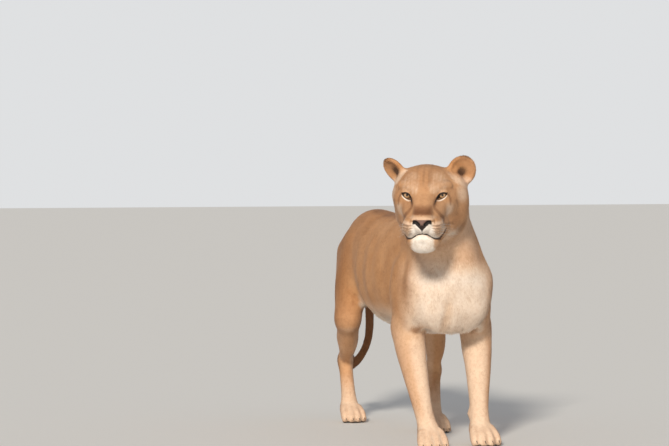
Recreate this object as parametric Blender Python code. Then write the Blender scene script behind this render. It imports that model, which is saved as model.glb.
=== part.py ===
"""A lioness standing in mid-step, life size, as a still museum model.

The animal faces -Y and +X is its left. Its flesh is one smooth form: rounded lumps and
swept tubes that melt into each other, each set by a few joints and half widths in metres.
That form is modelled whole and then parted with thin cuts into the parts one would name.
"""
import math

import bmesh
import bpy
import numpy as np
from mathutils import Matrix, Vector

for thing in list(bpy.data.objects):
    bpy.data.objects.remove(thing)

# ---------------------------------------------------------------- driving sizes
CLAY = 0.005           # grain of the first rough clay
TRIANGLES = 4200       # faces kept in all the flesh
GAP = 0.0004           # width of the cuts between parts
NECK_BLEND = 0.025     # how softly the head melts into the neck
FOREPAW_WIDE, FOREPAW_LONG = 0.108, 0.120
HINDPAW_WIDE, HINDPAW_LONG = 0.094, 0.112
EYE_RADIUS = 0.0215
EYE_PLACE = np.array([0.0670, -0.004, 0.0])      # of the left eye, in the head's own frame
HEAD_PLACE = np.array([-0.190, -0.715, 0.9825])  # midway between the eyes
HEAD_TURN, HEAD_DROP = 21.8, 11.0                # degrees towards the right, and downwards
EAR_WIDE, EAR_TALL, EAR_THICK = 0.056, 0.060, 0.020

FORELEGS = {
    "left": {
        "blade": (0.070, -0.22, 0.875), "shoulder": (0.103, -0.440, 0.640),
        "elbow": (0.156, -0.285, 0.455), "forearm": (0.150, -0.340, 0.300),
        "wrist": (0.142, -0.375, 0.165), "ball": (0.140, -0.400, 0.060), "turn": 0,
    },
    "right": {
        "blade": (-0.070, -0.24, 0.875), "shoulder": (-0.120, -0.455, 0.640),
        "elbow": (-0.130, -0.300, 0.455), "forearm": (-0.126, -0.385, 0.300),
        "wrist": (-0.114, -0.445, 0.165), "ball": (-0.096, -0.480, 0.060), "turn": -4,
    },
}
HINDLEGS = {
    "left": {
        "hip": (0.078, 0.520, 0.750), "knee": (0.142, 0.205, 0.470), "shin": (0.158, 0.235, 0.350),
        "hock": (0.164, 0.275, 0.245), "ball": (0.125, 0.155, 0.055), "turn": 0,
    },
    "right": {
        "hip": (-0.080, 0.560, 0.745), "knee": (-0.143, 0.480, 0.450), "shin": (-0.106, 0.610, 0.345),
        "hock": (-0.072, 0.765, 0.255), "ball": (-0.074, 0.690, 0.055), "turn": 0,
    },
}
EARS = {  # place, the way the cup opens, and the way the tip points, in the head's frame
    "left": ((0.133, -0.130, 0.066), (0.25, 1.0, 0.05), (0.30, -0.1, 1.0)),
    "right": ((-0.121, -0.140, 0.064), (-0.62, 0.66, -0.42), (-0.78, -0.25, 0.90)),
}


# ---------------------------------------------------------------- the forms
def unit(vector):
    vector = np.asarray(vector, float)
    return vector / np.linalg.norm(vector)


def between(a, b, t):
    return np.asarray(a, float) * (1 - t) + np.asarray(b, float) * t


def melt(a, b, k):
    """The union of two distances, rounded over a width k."""
    if k == 0:
        return np.minimum(a, b)
    h = np.clip(0.5 + 0.5 * (b - a) / k, 0, 1)
    return b + (a - b) * h - k * h * (1 - h)


def carve(a, b, k):
    """What is left of a once b is taken out of it, rounded over a width k."""
    return -melt(-a, b, k)


def smooth_line(points, steps):
    """Points along a smooth curve through the given ones."""
    if len(points) == 2:
        t = np.linspace(0, 1, steps + 1)[:, None]
        return points[0] * (1 - t) + points[1] * t
    padded = np.vstack([2 * points[0] - points[1], points, 2 * points[-1] - points[-2]])
    line = []
    for a, b, c, d in zip(padded, padded[1:], padded[2:], padded[3:]):
        for t in np.arange(steps) / steps:
            cubic = (3 * b - a - 3 * c + d) * t ** 3
            line.append(0.5 * (2 * b + (c - a) * t + (2 * a - 5 * b + 4 * c - d) * t ** 2 + cubic))
    line.append(points[-1])
    return np.array(line)


REACH = 0.09  # a form is not measured further away than this


class Ball:
    """An ellipsoid with half sizes along its own three axes."""

    def __init__(self, centre, radii, axes=((1, 0, 0), (0, 1, 0), (0, 0, 1))):
        self.centre, self.radii = np.array(centre, float), np.array(radii, float)
        self.axes = np.array(axes, float)

    def distance(self, points):
        result = np.ones(len(points))
        near = np.nonzero(((points - self.centre) ** 2).sum(1) < (self.radii.max() + REACH) ** 2)[0]
        local = (points[near] - self.centre) @ self.axes.T
        k0 = np.linalg.norm(local / self.radii, axis=1)
        k1 = np.linalg.norm(local / self.radii ** 2, axis=1)
        result[near] = k0 * (k0 - 1) / np.maximum(k1, 1e-9)
        return result

    def lumps(self):
        yield self.centre, self.radii, self.axes


class Sweep:
    """A tube of oval section along a smooth curve: stations of (centre, half width, half height)."""

    def __init__(self, stations, side=(1, 0, 0), steps=5):
        self.centres = smooth_line(np.array([s[0] for s in stations], float), steps)
        self.halves = smooth_line(np.array([s[1:] for s in stations], float), steps)
        runs = np.diff(self.centres, axis=0)
        self.lengths = np.linalg.norm(runs, axis=1)
        self.along = runs / self.lengths[:, None]
        side = np.array(side, float)
        side = side - self.along * (self.along @ side)[:, None]
        self.side = side / np.linalg.norm(side, axis=1)[:, None]
        self.up = np.cross(self.side, self.along)

    def distance(self, points):
        result = np.ones(len(points))
        low = self.centres.min(0) - self.halves.max() - REACH
        high = self.centres.max(0) + self.halves.max() + REACH
        near = np.nonzero(np.all((points > low) & (points < high), axis=1))[0]
        local, found = points[near], np.ones(len(near))
        for i, length in enumerate(self.lengths):
            middle = (self.centres[i] + self.centres[i + 1]) / 2
            reach = length / 2 + self.halves[i:i + 2].max() + REACH
            close = np.nonzero(((local - middle) ** 2).sum(1) < reach ** 2)[0]
            rel = local[close] - self.centres[i]
            t = np.clip(rel @ self.along[i] / length, 0, 1)
            rel = rel - np.outer(t * length, self.along[i])
            wide, high_half = (self.halves[i] + np.outer(t, self.halves[i + 1] - self.halves[i])).T
            cap = np.minimum(wide, high_half)
            k = np.sqrt((rel @ self.side[i] / wide) ** 2 + (rel @ self.up[i] / high_half) ** 2
                        + (rel @ self.along[i] / cap) ** 2)
            k = np.maximum(k, 1e-6)
            found[close] = np.minimum(found[close], np.linalg.norm(rel, axis=1) * (1 - 1 / k))
        result[near] = found
        return result

    def lumps(self):
        for i, length in enumerate(self.lengths):
            wide, high = (self.halves[i] + self.halves[i + 1]) / 2
            axes = np.array([self.side[i], self.along[i], self.up[i]])
            middle = (self.centres[i] + self.centres[i + 1]) / 2
            yield middle, np.array([wide, length / 2 + min(wide, high), high]), axes


# ---------------------------------------------------------------- the head, in its own frame
# The frame's axes are the head's left side, its front and its top; its origin is between the eyes.
turn, drop = math.radians(HEAD_TURN), math.radians(HEAD_DROP)
HEAD_FRONT = np.array([-math.sin(turn) * math.cos(drop), -math.cos(turn) * math.cos(drop), -math.sin(drop)])
HEAD_SIDE = np.array([math.cos(turn), -math.sin(turn), 0.0])
HEAD_AXES = np.array([HEAD_SIDE, HEAD_FRONT, np.cross(HEAD_FRONT, HEAD_SIDE)])

SKULL = [  # forms on the middle line, each with the width over which it melts into the rest
    (Ball((0, -0.100, 0.008), (0.098, 0.125, 0.088)), 0),                        # cranium
    (Ball((0, -0.030, 0.016), (0.070, 0.075, 0.050)), 0.030),                    # forehead
    (Sweep([((0, -0.010, -0.050), 0.066, 0.068), ((0, 0.060, -0.074), 0.058, 0.058),
            ((0, 0.112, -0.086), 0.048, 0.040), ((0, 0.135, -0.086), 0.040, 0.031)]), 0.030),  # muzzle
    (Ball((0, 0.094, -0.153), (0.051, 0.039, 0.048)), 0.014),                    # chin
    (Ball((0.106, -0.108, -0.045), (0.055, 0.068, 0.108)), 0.025),               # the fuller ruff of the left cheek
    (Ball((0.086, -0.075, -0.128), (0.034, 0.050, 0.043)), 0.020),               # its lower end
]
FACE = [  # forms that both sides of the head have
    (Ball((0.040, -0.105, 0.015), (0.066, 0.105, 0.066)), 0.020),                # side of the crown
    (Ball((0.060, -0.060, -0.045), (0.058, 0.085, 0.076)), 0.030),               # cheek
    (Ball((0.074, -0.130, -0.034), (0.057, 0.078, 0.098)), 0.030),               # ruff of the cheek
    (Sweep([((0.013, -0.030, 0.018), 0.032, 0.032), ((0.013, 0.030, -0.005), 0.029, 0.029),
            ((0.012, 0.090, -0.036), 0.027, 0.027), ((0.011, 0.137, -0.062), 0.022, 0.022)]), 0.018),  # nose bridge
    (Sweep([((0.032, 0.010, 0.020), 0.012, 0.012), ((0.057, 0.002, 0.036), 0.014, 0.012),
            ((0.090, -0.024, 0.034), 0.013, 0.012)]), 0.022),                    # brow
    (Sweep([((0.060, 0.030, -0.036), 0.018, 0.018), ((0.088, -0.020, -0.026), 0.022, 0.022),
            ((0.098, -0.080, -0.015), 0.026, 0.030)]), 0.025),                   # cheekbone
    (Ball((0.050, 0.040, -0.056), (0.029, 0.055, 0.036)), 0.025),                # side of the nose
    (Ball((0.042, 0.104, -0.098), (0.037, 0.047, 0.039)), 0.010),                # whisker pad
    (Sweep([((0.050, 0.080, -0.108), 0.026, 0.026), ((0.062, 0.020, -0.104), 0.026, 0.028)]), 0.020),  # lip
    (Sweep([((0.000, 0.128, -0.140), 0.015, 0.013), ((0.030, 0.117, -0.148), 0.015, 0.013),
            ((0.052, 0.088, -0.156), 0.014, 0.013)]), 0.010),                    # lower lip
    (Sweep([((0.020, 0.095, -0.156), 0.032, 0.036), ((0.055, 0.000, -0.132), 0.034, 0.038),
            ((0.078, -0.080, -0.105), 0.036, 0.050)]), 0.025),                   # lower jaw
]
NOSE = [  # the bare pad: a bar over the nostrils, a wedge between them and a wing outside each
    (Sweep([((0.000, 0.150, -0.063), 0.013, 0.010), ((0.030, 0.144, -0.061), 0.010, 0.009)]), 0.008),
    (Sweep([((0.000, 0.150, -0.078), 0.015, 0.020), ((0.000, 0.147, -0.100), 0.008, 0.010)]), 0.008),
    (Ball((0.034, 0.143, -0.070), (0.011, 0.015, 0.012)), 0.008),
]
GROOVES = [  # lines that sink into the face: points on or near it, half width, softness
    ([(-0.006, 0.152, -0.118), (0.014, 0.150, -0.122), (0.030, 0.142, -0.131), (0.047, 0.122, -0.142),
      (0.062, 0.092, -0.145), (0.075, 0.062, -0.135), (0.082, 0.035, -0.121)], 0.0042, 0.006),  # between the lips
    ([(0, 0.166, -0.092), (0, 0.158, -0.117)], 0.0030, 0.005),                   # below the nose
    ([(0.014, 0.166, -0.078), (0.024, 0.160, -0.070), (0.037, 0.150, -0.072)], 0.0062, 0.003),  # nostril
]
SOCKET_RADIUS, LID_THICK = 0.028, 0.0035
SLIT_HALF, SLIT_TOP, SLIT_LOW, SLIT_SLANT = 0.0195, 0.0090, 0.0068, -20
SOFT_MIDDLE = 0.004  # keeps the two sides of the face from meeting in a crease


def fold(local):
    """The same points, all on the left side of the head."""
    folded = local.copy()
    folded[:, 0] = np.sqrt(local[:, 0] ** 2 + SOFT_MIDDLE ** 2)
    return folded


def to_head(points):
    return (points - HEAD_PLACE) @ HEAD_AXES.T


def from_head(place):
    return HEAD_PLACE + np.asarray(place, float) @ HEAD_AXES


def ear_pair(name):
    """The ear's outer shape and the hollow of its cup."""
    place, opening, tip = EARS[name]
    opening = unit(opening)
    tip = unit(np.array(tip) - opening * np.dot(tip, opening))
    axes = np.array([np.cross(opening, tip), opening, tip])
    outer = Ball(place, (EAR_WIDE, EAR_THICK, EAR_TALL), axes)
    cup = Ball(place + opening * EAR_THICK, (EAR_WIDE * 0.86, EAR_THICK * 1.15, EAR_TALL * 0.88), axes)
    return outer, cup


def face_distance(local):
    """Distance to the head without its grooves and ears, in the head's frame."""
    folded = fold(local)
    distance = np.ones(len(local))
    for form, k in SKULL:
        distance = melt(distance, form.distance(local), k)
    for form, k in FACE:
        distance = melt(distance, form.distance(folded), k)
    to_eye = np.linalg.norm(folded - EYE_PLACE, axis=1)
    distance = carve(distance, to_eye - SOCKET_RADIUS, 0.012)
    distance = melt(distance, to_eye - EYE_RADIUS - LID_THICK, 0.015)
    for form, k in NOSE:
        distance = melt(distance, form.distance(folded), k)
    return distance


def pull_onto(points, distance, rounds=5, probe=0.001, longest_step=0.02):
    """Moves points down the slope of a distance until they lie on the surface where it is zero."""
    corners = np.array([[1, -1, -1], [-1, -1, 1], [-1, 1, -1], [1, 1, 1]]) * probe
    for _ in range(rounds):
        values = distance((points[:, None] + corners).reshape(-1, 3)).reshape(-1, 4)
        slope = values @ corners / (4 * probe ** 2)
        steepness = np.maximum((slope ** 2).sum(1), 0.25)
        step = slope * (values.mean(1) / steepness)[:, None]
        length = np.maximum(np.linalg.norm(step, axis=1), 1e-9)
        points = points - step * np.minimum(1, longest_step / length)[:, None]
    return points


FURROWS = []
for line, half, k in GROOVES:
    laid = pull_onto(smooth_line(np.array(line, float), 4), face_distance)
    FURROWS.append((Sweep([(place, half, half) for place in laid], steps=1), k))


def head_distance(points):
    local = to_head(points)
    folded = fold(local)
    distance = face_distance(local)
    for furrow, k in FURROWS:
        distance = carve(distance, furrow.distance(folded), k)
    for name in EARS:
        outer, cup = ear_pair(name)
        distance = melt(distance, carve(outer.distance(local), cup.distance(local), 0.006), 0.020)
    return distance


# ---------------------------------------------------------------- the body
def trunk_forms():
    yield Sweep([((0, -0.47, 0.665), 0.115, 0.165), ((0, -0.38, 0.685), 0.140, 0.215),
                 ((0, -0.25, 0.690), 0.152, 0.240), ((0, -0.08, 0.675), 0.162, 0.232),
                 ((0, 0.10, 0.660), 0.170, 0.227), ((0, 0.28, 0.666), 0.163, 0.222),
                 ((0, 0.42, 0.700), 0.146, 0.198), ((0, 0.56, 0.725), 0.126, 0.176),
                 ((0, 0.67, 0.715), 0.102, 0.148), ((0, 0.71, 0.705), 0.078, 0.120)], steps=9), 0
    yield Sweep([((0.000, -0.24, 0.780), 0.095, 0.150), ((-0.015, -0.36, 0.820), 0.118, 0.165),
                 ((-0.056, -0.47, 0.875), 0.122, 0.150), ((-0.096, -0.57, 0.935), 0.120, 0.126),
                 ((-0.125, -0.63, 0.965), 0.105, 0.100)], steps=8), 0.05       # neck
    for side in (1, -1):
        yield Ball((side * 0.068, -0.470, 0.590), (0.085, 0.085, 0.135)), 0.05   # breast muscle
    yield Sweep([((0, -0.44, 0.530), 0.085, 0.085), ((0, -0.20, 0.520), 0.085, 0.085)]), 0.05  # breastbone


def paw_forms(ball, turn_degrees, wide, long):
    """The sole of a foot and its four toes, fanned in front of the ball."""
    angle = math.radians(turn_degrees)
    side = np.array([math.cos(angle), math.sin(angle), 0])
    ahead = np.array([math.sin(angle), -math.cos(angle), 0])
    ball = np.array(ball)
    sole = [(ball - ahead * 0.012, wide * 0.36, 0.040),
            (ball + ahead * long * 0.30 - [0, 0, 0.023], wide * 0.42, 0.036)]
    yield Sweep(sole, side=side), 0.020
    for place in (-1.5, -0.5, 0.5, 1.5):
        out = side * place * wide * 0.27
        reach = long * (0.74 - 0.055 * place ** 2)
        root = ball + out * 0.8 + ahead * long * 0.18
        knuckle = ball + out + ahead * reach * 0.72
        tip = ball + out * 1.04 + ahead * reach
        knuckle[2], tip[2] = 0.035, 0.016
        toe = [(root, 0.018, 0.022), (knuckle, wide * 0.160, 0.024), (tip, wide * 0.148, 0.020)]
        yield Sweep(toe, side=side, steps=4), 0.010


def foreleg_forms(joints, out):
    blade, shoulder, elbow, forearm, wrist, ball = (
        np.array(joints[name]) for name in ("blade", "shoulder", "elbow", "forearm", "wrist", "ball"))
    yield Sweep([(blade, 0.036, 0.075), (between(blade, shoulder, 0.5), 0.048, 0.095),
                 (shoulder, 0.052, 0.085)]), 0.04
    yield Sweep([(shoulder, 0.055, 0.085), (between(shoulder, elbow, 0.5), 0.058, 0.098),
                 (elbow, 0.054, 0.076)]), 0.04
    yield Ball((out * 0.143, -0.30, 0.60), (0.050, 0.10, 0.13)), 0.04            # triceps
    yield Sweep([(elbow, 0.060, 0.070), (between(elbow, forearm, 0.45), 0.061, 0.066),
                 (forearm, 0.052, 0.054), (wrist, 0.039, 0.042),
                 (between(wrist, ball, 0.6), 0.038, 0.038), (ball, 0.041, 0.040)]), 0.03
    yield Sweep([(elbow + [0, 0.045, 0.015], 0.022, 0.024), (elbow + [0, 0.020, -0.080], 0.024, 0.030)]), 0.03
    yield Ball(wrist + [out * 0.004, 0.036, -0.005], (0.014, 0.014, 0.020)), 0.012   # carpal pad
    yield Ball(wrist + [-out * 0.034, 0.010, -0.045], (0.013, 0.016, 0.022)), 0.012  # dewclaw
    yield from paw_forms(ball, joints["turn"], FOREPAW_WIDE, FOREPAW_LONG)


def hindleg_forms(joints):
    hip, knee, shin, hock, ball = (
        np.array(joints[name]) for name in ("hip", "knee", "shin", "hock", "ball"))
    seat = hip + [0, 0.10, -0.03]
    yield Sweep([(hip, 0.060, 0.125), (between(hip, knee, 0.5), 0.068, 0.128), (knee, 0.052, 0.074)]), 0.05
    yield Sweep([(seat, 0.052, 0.080), (between(seat, shin, 0.55), 0.056, 0.080),
                 (between(hip, shin, 0.92) + [0, 0.02, 0], 0.040, 0.050)]), 0.04     # hamstring
    yield Sweep([(knee, 0.048, 0.064), (shin, 0.042, 0.052), (between(shin, hock, 0.7), 0.028, 0.036),
                 (hock, 0.030, 0.038)]), 0.03
    yield Sweep([(between(shin, hock, 0.35) + [0, 0.028, 0.030], 0.016, 0.020),
                 (hock + [0, 0.026, 0.022], 0.015, 0.017)]), 0.02                    # heel tendon
    yield Sweep([(hock, 0.032, 0.040), (between(hock, ball, 0.35), 0.030, 0.034),
                 (between(hock, ball, 0.8), 0.033, 0.034), (ball, 0.038, 0.036)]), 0.02
    yield from paw_forms(ball, joints["turn"], HINDPAW_WIDE, HINDPAW_LONG)


def tail_forms():
    yield Sweep([((0.000, 0.680, 0.800), 0.045, 0.045), ((0.005, 0.775, 0.775), 0.034, 0.034),
                 ((0.030, 0.852, 0.670), 0.026, 0.026), ((0.058, 0.862, 0.520), 0.022, 0.022),
                 ((0.066, 0.865, 0.400), 0.020, 0.020), ((0.056, 0.870, 0.318), 0.019, 0.019),
                 ((0.026, 0.888, 0.252), 0.020, 0.020), ((0.002, 0.934, 0.224), 0.026, 0.026),
                 ((0.010, 0.990, 0.228), 0.027, 0.027), ((0.026, 1.038, 0.250), 0.014, 0.014),
                 ((0.034, 1.056, 0.262), 0.005, 0.005)], steps=4), 0.03


BODY = [*trunk_forms()]
for name, out in (("left", 1), ("right", -1)):
    BODY += foreleg_forms(FORELEGS[name], out)
    BODY += hindleg_forms(HINDLEGS[name])
BODY += tail_forms()


JAW_CREASES = [  # where the ruff of each cheek and the jaw overhang the neck, in the head's frame
    Sweep([((0.045, 0.010, -0.208), 0.014, 0.014), ((0.086, -0.032, -0.196), 0.020, 0.020),
           ((0.122, -0.076, -0.169), 0.023, 0.023), ((0.155, -0.112, -0.126), 0.021, 0.021),
           ((0.182, -0.142, -0.074), 0.014, 0.014)], steps=4),
    Sweep([((-0.045, 0.010, -0.204), 0.014, 0.014), ((-0.081, -0.032, -0.184), 0.018, 0.018),
           ((-0.108, -0.078, -0.154), 0.018, 0.018), ((-0.132, -0.120, -0.108), 0.012, 0.012)], steps=4),
]


def lioness_distance(points):
    distance = np.ones(len(points))
    for form, k in BODY:
        distance = melt(distance, form.distance(points), k)
    distance = melt(distance, head_distance(points), NECK_BLEND)
    for crease in JAW_CREASES:
        distance = carve(distance, crease.distance(to_head(points)), 0.010)
    return distance


# ---------------------------------------------------------------- clay, pulled onto the form
def all_lumps():
    for form, _ in BODY:
        yield from form.lumps()
    for name in EARS:
        for centre, radii, axes in ear_pair(name)[0].lumps():
            yield from_head(centre), radii, axes @ HEAD_AXES
    paired = FACE + NOSE + [(Ball(EYE_PLACE, [EYE_RADIUS + LID_THICK] * 3), 0)]
    for mirrored, forms in ((False, SKULL), (False, paired), (True, paired)):
        flip = np.array([-1 if mirrored else 1, 1, 1])
        for form, _ in forms:
            for centre, radii, axes in form.lumps():
                yield from_head(centre * flip), radii, (axes * flip) @ HEAD_AXES


def rough_clay(name, grain):
    """One closed skin round lumps that roughly fill the form."""
    clay = bmesh.new()
    for centre, radii, axes in all_lumps():
        place = Matrix.Identity(4)
        for column in range(3):
            place.col[column][:3] = axes[column] * radii[column]
        place.translation = centre
        if place.determinant() < 0:
            place.col[0] = -place.col[0]
        bmesh.ops.create_icosphere(clay, subdivisions=2, radius=1.0, matrix=place)
    mesh = bpy.data.meshes.new(name)
    clay.to_mesh(mesh)
    clay.free()
    thing = bpy.data.objects.new(name, mesh)
    bpy.context.scene.collection.objects.link(thing)
    even_out(thing, grain)
    return thing


def even_out(thing, grain):
    """Gives a thing one outer skin of even grain."""
    remesh = thing.modifiers.new("grain", "REMESH")
    remesh.mode = "VOXEL"
    remesh.voxel_size = grain
    settle(thing)


def settle(thing):
    """Applies a thing's modifiers."""
    bpy.context.view_layer.update()
    graph = bpy.context.evaluated_depsgraph_get()
    mesh = bpy.data.meshes.new_from_object(thing.evaluated_get(graph))
    thing.modifiers.clear()
    thing.data = mesh


def pull_mesh(mesh, distance, rounds):
    """Pulls a skin onto a form, and smooths out the specks that this leaves along creases."""
    flat = np.empty(len(mesh.vertices) * 3, np.float32)
    mesh.vertices.foreach_get("co", flat)
    points = pull_onto(flat.reshape(-1, 3).astype(float), distance, rounds)
    mesh.vertices.foreach_set("co", points.astype(np.float32).ravel())
    skin = bmesh.new()
    skin.from_mesh(mesh)
    bmesh.ops.smooth_vert(skin, verts=skin.verts, factor=0.5, use_axis_x=True, use_axis_y=True, use_axis_z=True)
    skin.to_mesh(mesh)
    skin.free()


flesh = rough_clay("flesh", CLAY)
pull_mesh(flesh.data, lioness_distance, rounds=5)
even_out(flesh, CLAY)
pull_mesh(flesh.data, lioness_distance, rounds=2)
thin = flesh.modifiers.new("fewer faces", "DECIMATE")
thin.ratio = TRIANGLES / (2 * len(flesh.data.polygons))
settle(flesh)

# ---------------------------------------------------------------- parting the flesh
TAN, RUST, PALE, WHITE = (0.42, 0.25, 0.12), (0.40, 0.20, 0.09), (0.62, 0.47, 0.31), (0.75, 0.68, 0.58)
ORANGE, NOSE_BROWN, AMBER, TUFT_BROWN = (0.50, 0.24, 0.09), (0.12, 0.06, 0.05), (0.45, 0.24, 0.05), (0.09, 0.05, 0.03)
FUR_ROUGH, WET_ROUGH = 0.85, 0.25
WHOLE = bpy.data.objects.new("lioness", None)
bpy.context.scene.collection.objects.link(WHOLE)
BODY_FRAME = (np.zeros(3), np.eye(3))
HEAD_FRAME = (HEAD_PLACE, HEAD_AXES)


def closed_mesh(build):
    """Runs build on a new bmesh, turns its faces outwards and returns it as a mesh."""
    shape = bmesh.new()
    build(shape)
    bmesh.ops.recalc_face_normals(shape, faces=shape.faces)
    bmesh.ops.triangulate(shape, faces=shape.faces)
    mesh = bpy.data.meshes.new("shape")
    shape.to_mesh(mesh)
    shape.free()
    return mesh


def region(frame, outline, inner, outer, grow=0.0):
    """A closed block: a convex outline in a frame's second and third axes, drawn out along its first.

    inner is where it starts along the first axis, at the outline's lowest and highest points."""
    origin, axes = frame
    heights = [point[1] for point in outline]
    low, high = min(heights), max(heights)

    def build(shape):
        rims = []
        for is_outer in (False, True):
            rim = []
            for front, up in outline:
                t = (up - low) / (high - low)
                first = outer if is_outer else inner[0] * (1 - t) + inner[1] * t
                rim.append(shape.verts.new(origin + np.array([first, front, up]) @ axes))
            rims.append(rim)
            shape.faces.new(rim)
        for i in range(len(outline)):
            j = (i + 1) % len(outline)
            shape.faces.new((rims[0][i], rims[0][j], rims[1][j], rims[1][i]))
        bmesh.ops.recalc_face_normals(shape, faces=shape.faces)
        shifts = []
        for corner in shape.verts:
            normals = np.array([face.normal for face in corner.link_faces])
            shifts.append(np.linalg.solve(normals, [grow] * 3))
        for corner, shift in zip(shape.verts, shifts):
            corner.co += Vector(shift)

    return closed_mesh(build)


def boolean(thing, operation, cutter_mesh):
    cutter = bpy.data.objects.new("cutter", cutter_mesh)
    bpy.context.scene.collection.objects.link(cutter)
    cut = thing.modifiers.new("cut", "BOOLEAN")
    cut.operation, cut.solver, cut.object = operation, "MANIFOLD", cutter
    settle(thing)
    bpy.data.objects.remove(cutter)


def part_off(rest, name, colour, frame, outline, inner, outer):
    """Makes what lies in a region a part of its own, and leaves a thin gap between it and the rest."""
    part = bpy.data.objects.new(name, rest.data.copy())
    bpy.context.scene.collection.objects.link(part)
    boolean(part, "INTERSECT", region(frame, outline, inner, outer))
    boolean(rest, "DIFFERENCE", region(frame, outline, inner, outer, GAP))
    dress(part, name, colour)
    return part


def dress(part, name, colour, roughness=FUR_ROUGH):
    """Names a part and gives it its own material, its origin at its middle, and its parent."""
    part.name = name
    material = bpy.data.materials.new(name)
    material.use_nodes = True
    shader = material.node_tree.nodes["Principled BSDF"]
    shader.inputs["Base Color"].default_value = (*colour, 1)
    shader.inputs["Roughness"].default_value = roughness
    part.data.materials.clear()
    part.data.materials.append(material)
    middle = sum((Vector(corner) for corner in part.bound_box), Vector()) / 8
    part.data.transform(Matrix.Translation(-middle))
    part.location = middle
    part.parent = WHOLE
    part.data.shade_smooth()
    part.data.set_sharp_from_angle(angle=math.radians(40))


def around(y, z, back, ahead, down, up):
    """A rectangle in side view, given by how far it reaches from a point."""
    return [(y - ahead, z - down), (y + back, z - down), (y + back, z + up), (y - ahead, z + up)]


# The soles are cut flat at the floor.
boolean(flesh, "DIFFERENCE", region(BODY_FRAME, around(0, 0, 2, 2, 0.1, 0.0), (-1, -1), 1))

# The tail in three lengths, each starting where the last one bends away.
part_off(flesh, "tail_tuft", TUFT_BROWN, BODY_FRAME, around(0.905, 0.25, 0.30, 0.0, 0.15, 0.10), (-0.12, -0.12), 0.12)
part_off(flesh, "tail_middle", TAN, BODY_FRAME, around(0.905, 0.36, 0.05, 0.085, 0.20, 0.20), (-0.038, -0.038), 0.14)
root_outline = [(0.818, 0.54), (1.0, 0.54), (1.0, 0.80), (0.86, 0.80), (0.79, 0.735)]
part_off(flesh, "tail_root", TAN, BODY_FRAME, root_outline, (-0.08, -0.08), 0.14)

WRIST_CUT, ARMPIT_CUT, LEG_OUTSIDE = 0.118, 0.425, 0.30
HOCK_CUT = 0.127
for name, out in (("left", 1), ("right", -1)):
    ball, elbow = FORELEGS[name]["ball"], FORELEGS[name]["elbow"]
    outside = out * LEG_OUTSIDE
    part_off(flesh, f"forepaw_{name}", PALE, BODY_FRAME, around(ball[1], WRIST_CUT, 0.10, 0.16, 0.20, 0.0),
             (ball[0] - 0.075,) * 2, ball[0] + 0.075)
    part_off(flesh, f"forearm_{name}", TAN, BODY_FRAME, around(elbow[1], ARMPIT_CUT, 0.12, 0.25, 0.40, 0.0),
             (out * 0.03,) * 2, outside)
    shoulder_outline = [(-0.60, 0.40), (-0.165, 0.40), (-0.20, 0.86), (-0.36, 0.86), (-0.60, 0.62)]
    part_off(flesh, f"shoulder_{name}", TAN, BODY_FRAME, shoulder_outline, (out * 0.085, out * 0.105), outside)

    ball, knee, hip = HINDLEGS[name]["ball"], HINDLEGS[name]["knee"], HINDLEGS[name]["hip"]
    part_off(flesh, f"hindpaw_{name}", PALE, BODY_FRAME, around(ball[1], HOCK_CUT, 0.10, 0.16, 0.20, 0.0),
             (ball[0] - 0.075,) * 2, ball[0] + 0.075)
    shank_outline = {
        "left": [(0.08, 0.05), (0.50, 0.05), (0.50, 0.42), (0.08, 0.39)],
        "right": [(0.40, 0.05), (0.95, 0.05), (0.80, 0.49), (0.40, 0.32)],
    }[name]
    part_off(flesh, f"shank_{name}", TAN, BODY_FRAME, shank_outline, (out * 0.01,) * 2, outside)
    thigh_outline = [(knee[1] - 0.11, 0.30), (0.80, 0.30), (0.80, 0.62), (hip[1] + 0.16, 0.88),
                     (hip[1] - 0.10, 0.88), (knee[1] - 0.11, 0.52)]
    part_off(flesh, f"thigh_{name}", RUST, BODY_FRAME, thigh_outline, (out * 0.015, out * 0.10), outside)

# The head's own parts, then the head, the neck and three lengths of trunk.
for name, out in (("left", 1), ("right", -1)):
    place, _, _ = EARS[name]
    away = unit((out * 0.8, -0.15, 0.6))
    front = unit(np.cross(away, (1, 0, 0)))
    ear_axes = np.array([np.cross(front, away), front, away]) @ HEAD_AXES
    ear_frame = (from_head(np.array(place) + [-out * 0.018, 0, -0.018]), ear_axes)
    part_off(flesh, f"ear_{name}", ORANGE, ear_frame, around(0, 0, 0.07, 0.07, 0, 0.14), (-0.09,) * 2, 0.09)
nose_outline = [(0.146, -0.106), (0.20, -0.106), (0.20, -0.053), (0.146, -0.053)]
part_off(flesh, "nose", NOSE_BROWN, HEAD_FRAME, nose_outline, (-0.045,) * 2, 0.045)
jaw_outline = [(0.02, -0.142), (-0.01, -0.27), (0.22, -0.27), (0.22, -0.127)]
part_off(flesh, "jaw", WHITE, HEAD_FRAME, jaw_outline, (-0.13,) * 2, 0.13)
head_outline = [(-0.215, 0.20), (-0.165, -0.13), (-0.10, -0.215), (0.25, -0.30), (0.30, 0.20)]
head = part_off(flesh, "head", TAN, HEAD_FRAME, head_outline, (-0.25,) * 2, 0.25)
neck_outline = [(-0.80, 0.62), (-0.50, 0.68), (-0.24, 0.95), (-0.24, 1.20), (-0.80, 1.20)]
part_off(flesh, "neck", TAN, BODY_FRAME, neck_outline, (-0.40,) * 2, 0.40)
part_off(flesh, "rump", RUST, BODY_FRAME, around(0.40, 0.70, 0.60, 0.0, 0.50, 0.40), (-0.40,) * 2, 0.40)
part_off(flesh, "chest", PALE, BODY_FRAME, around(-0.06, 0.70, 0.0, 0.60, 0.50, 0.40), (-0.40,) * 2, 0.40)
dress(flesh, "belly", TAN)

# ---------------------------------------------------------------- the eyes
def eye_ball(place, radius):
    return closed_mesh(lambda shape: bmesh.ops.create_icosphere(
        shape, subdivisions=3, radius=radius, matrix=Matrix.Translation(place)))


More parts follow.
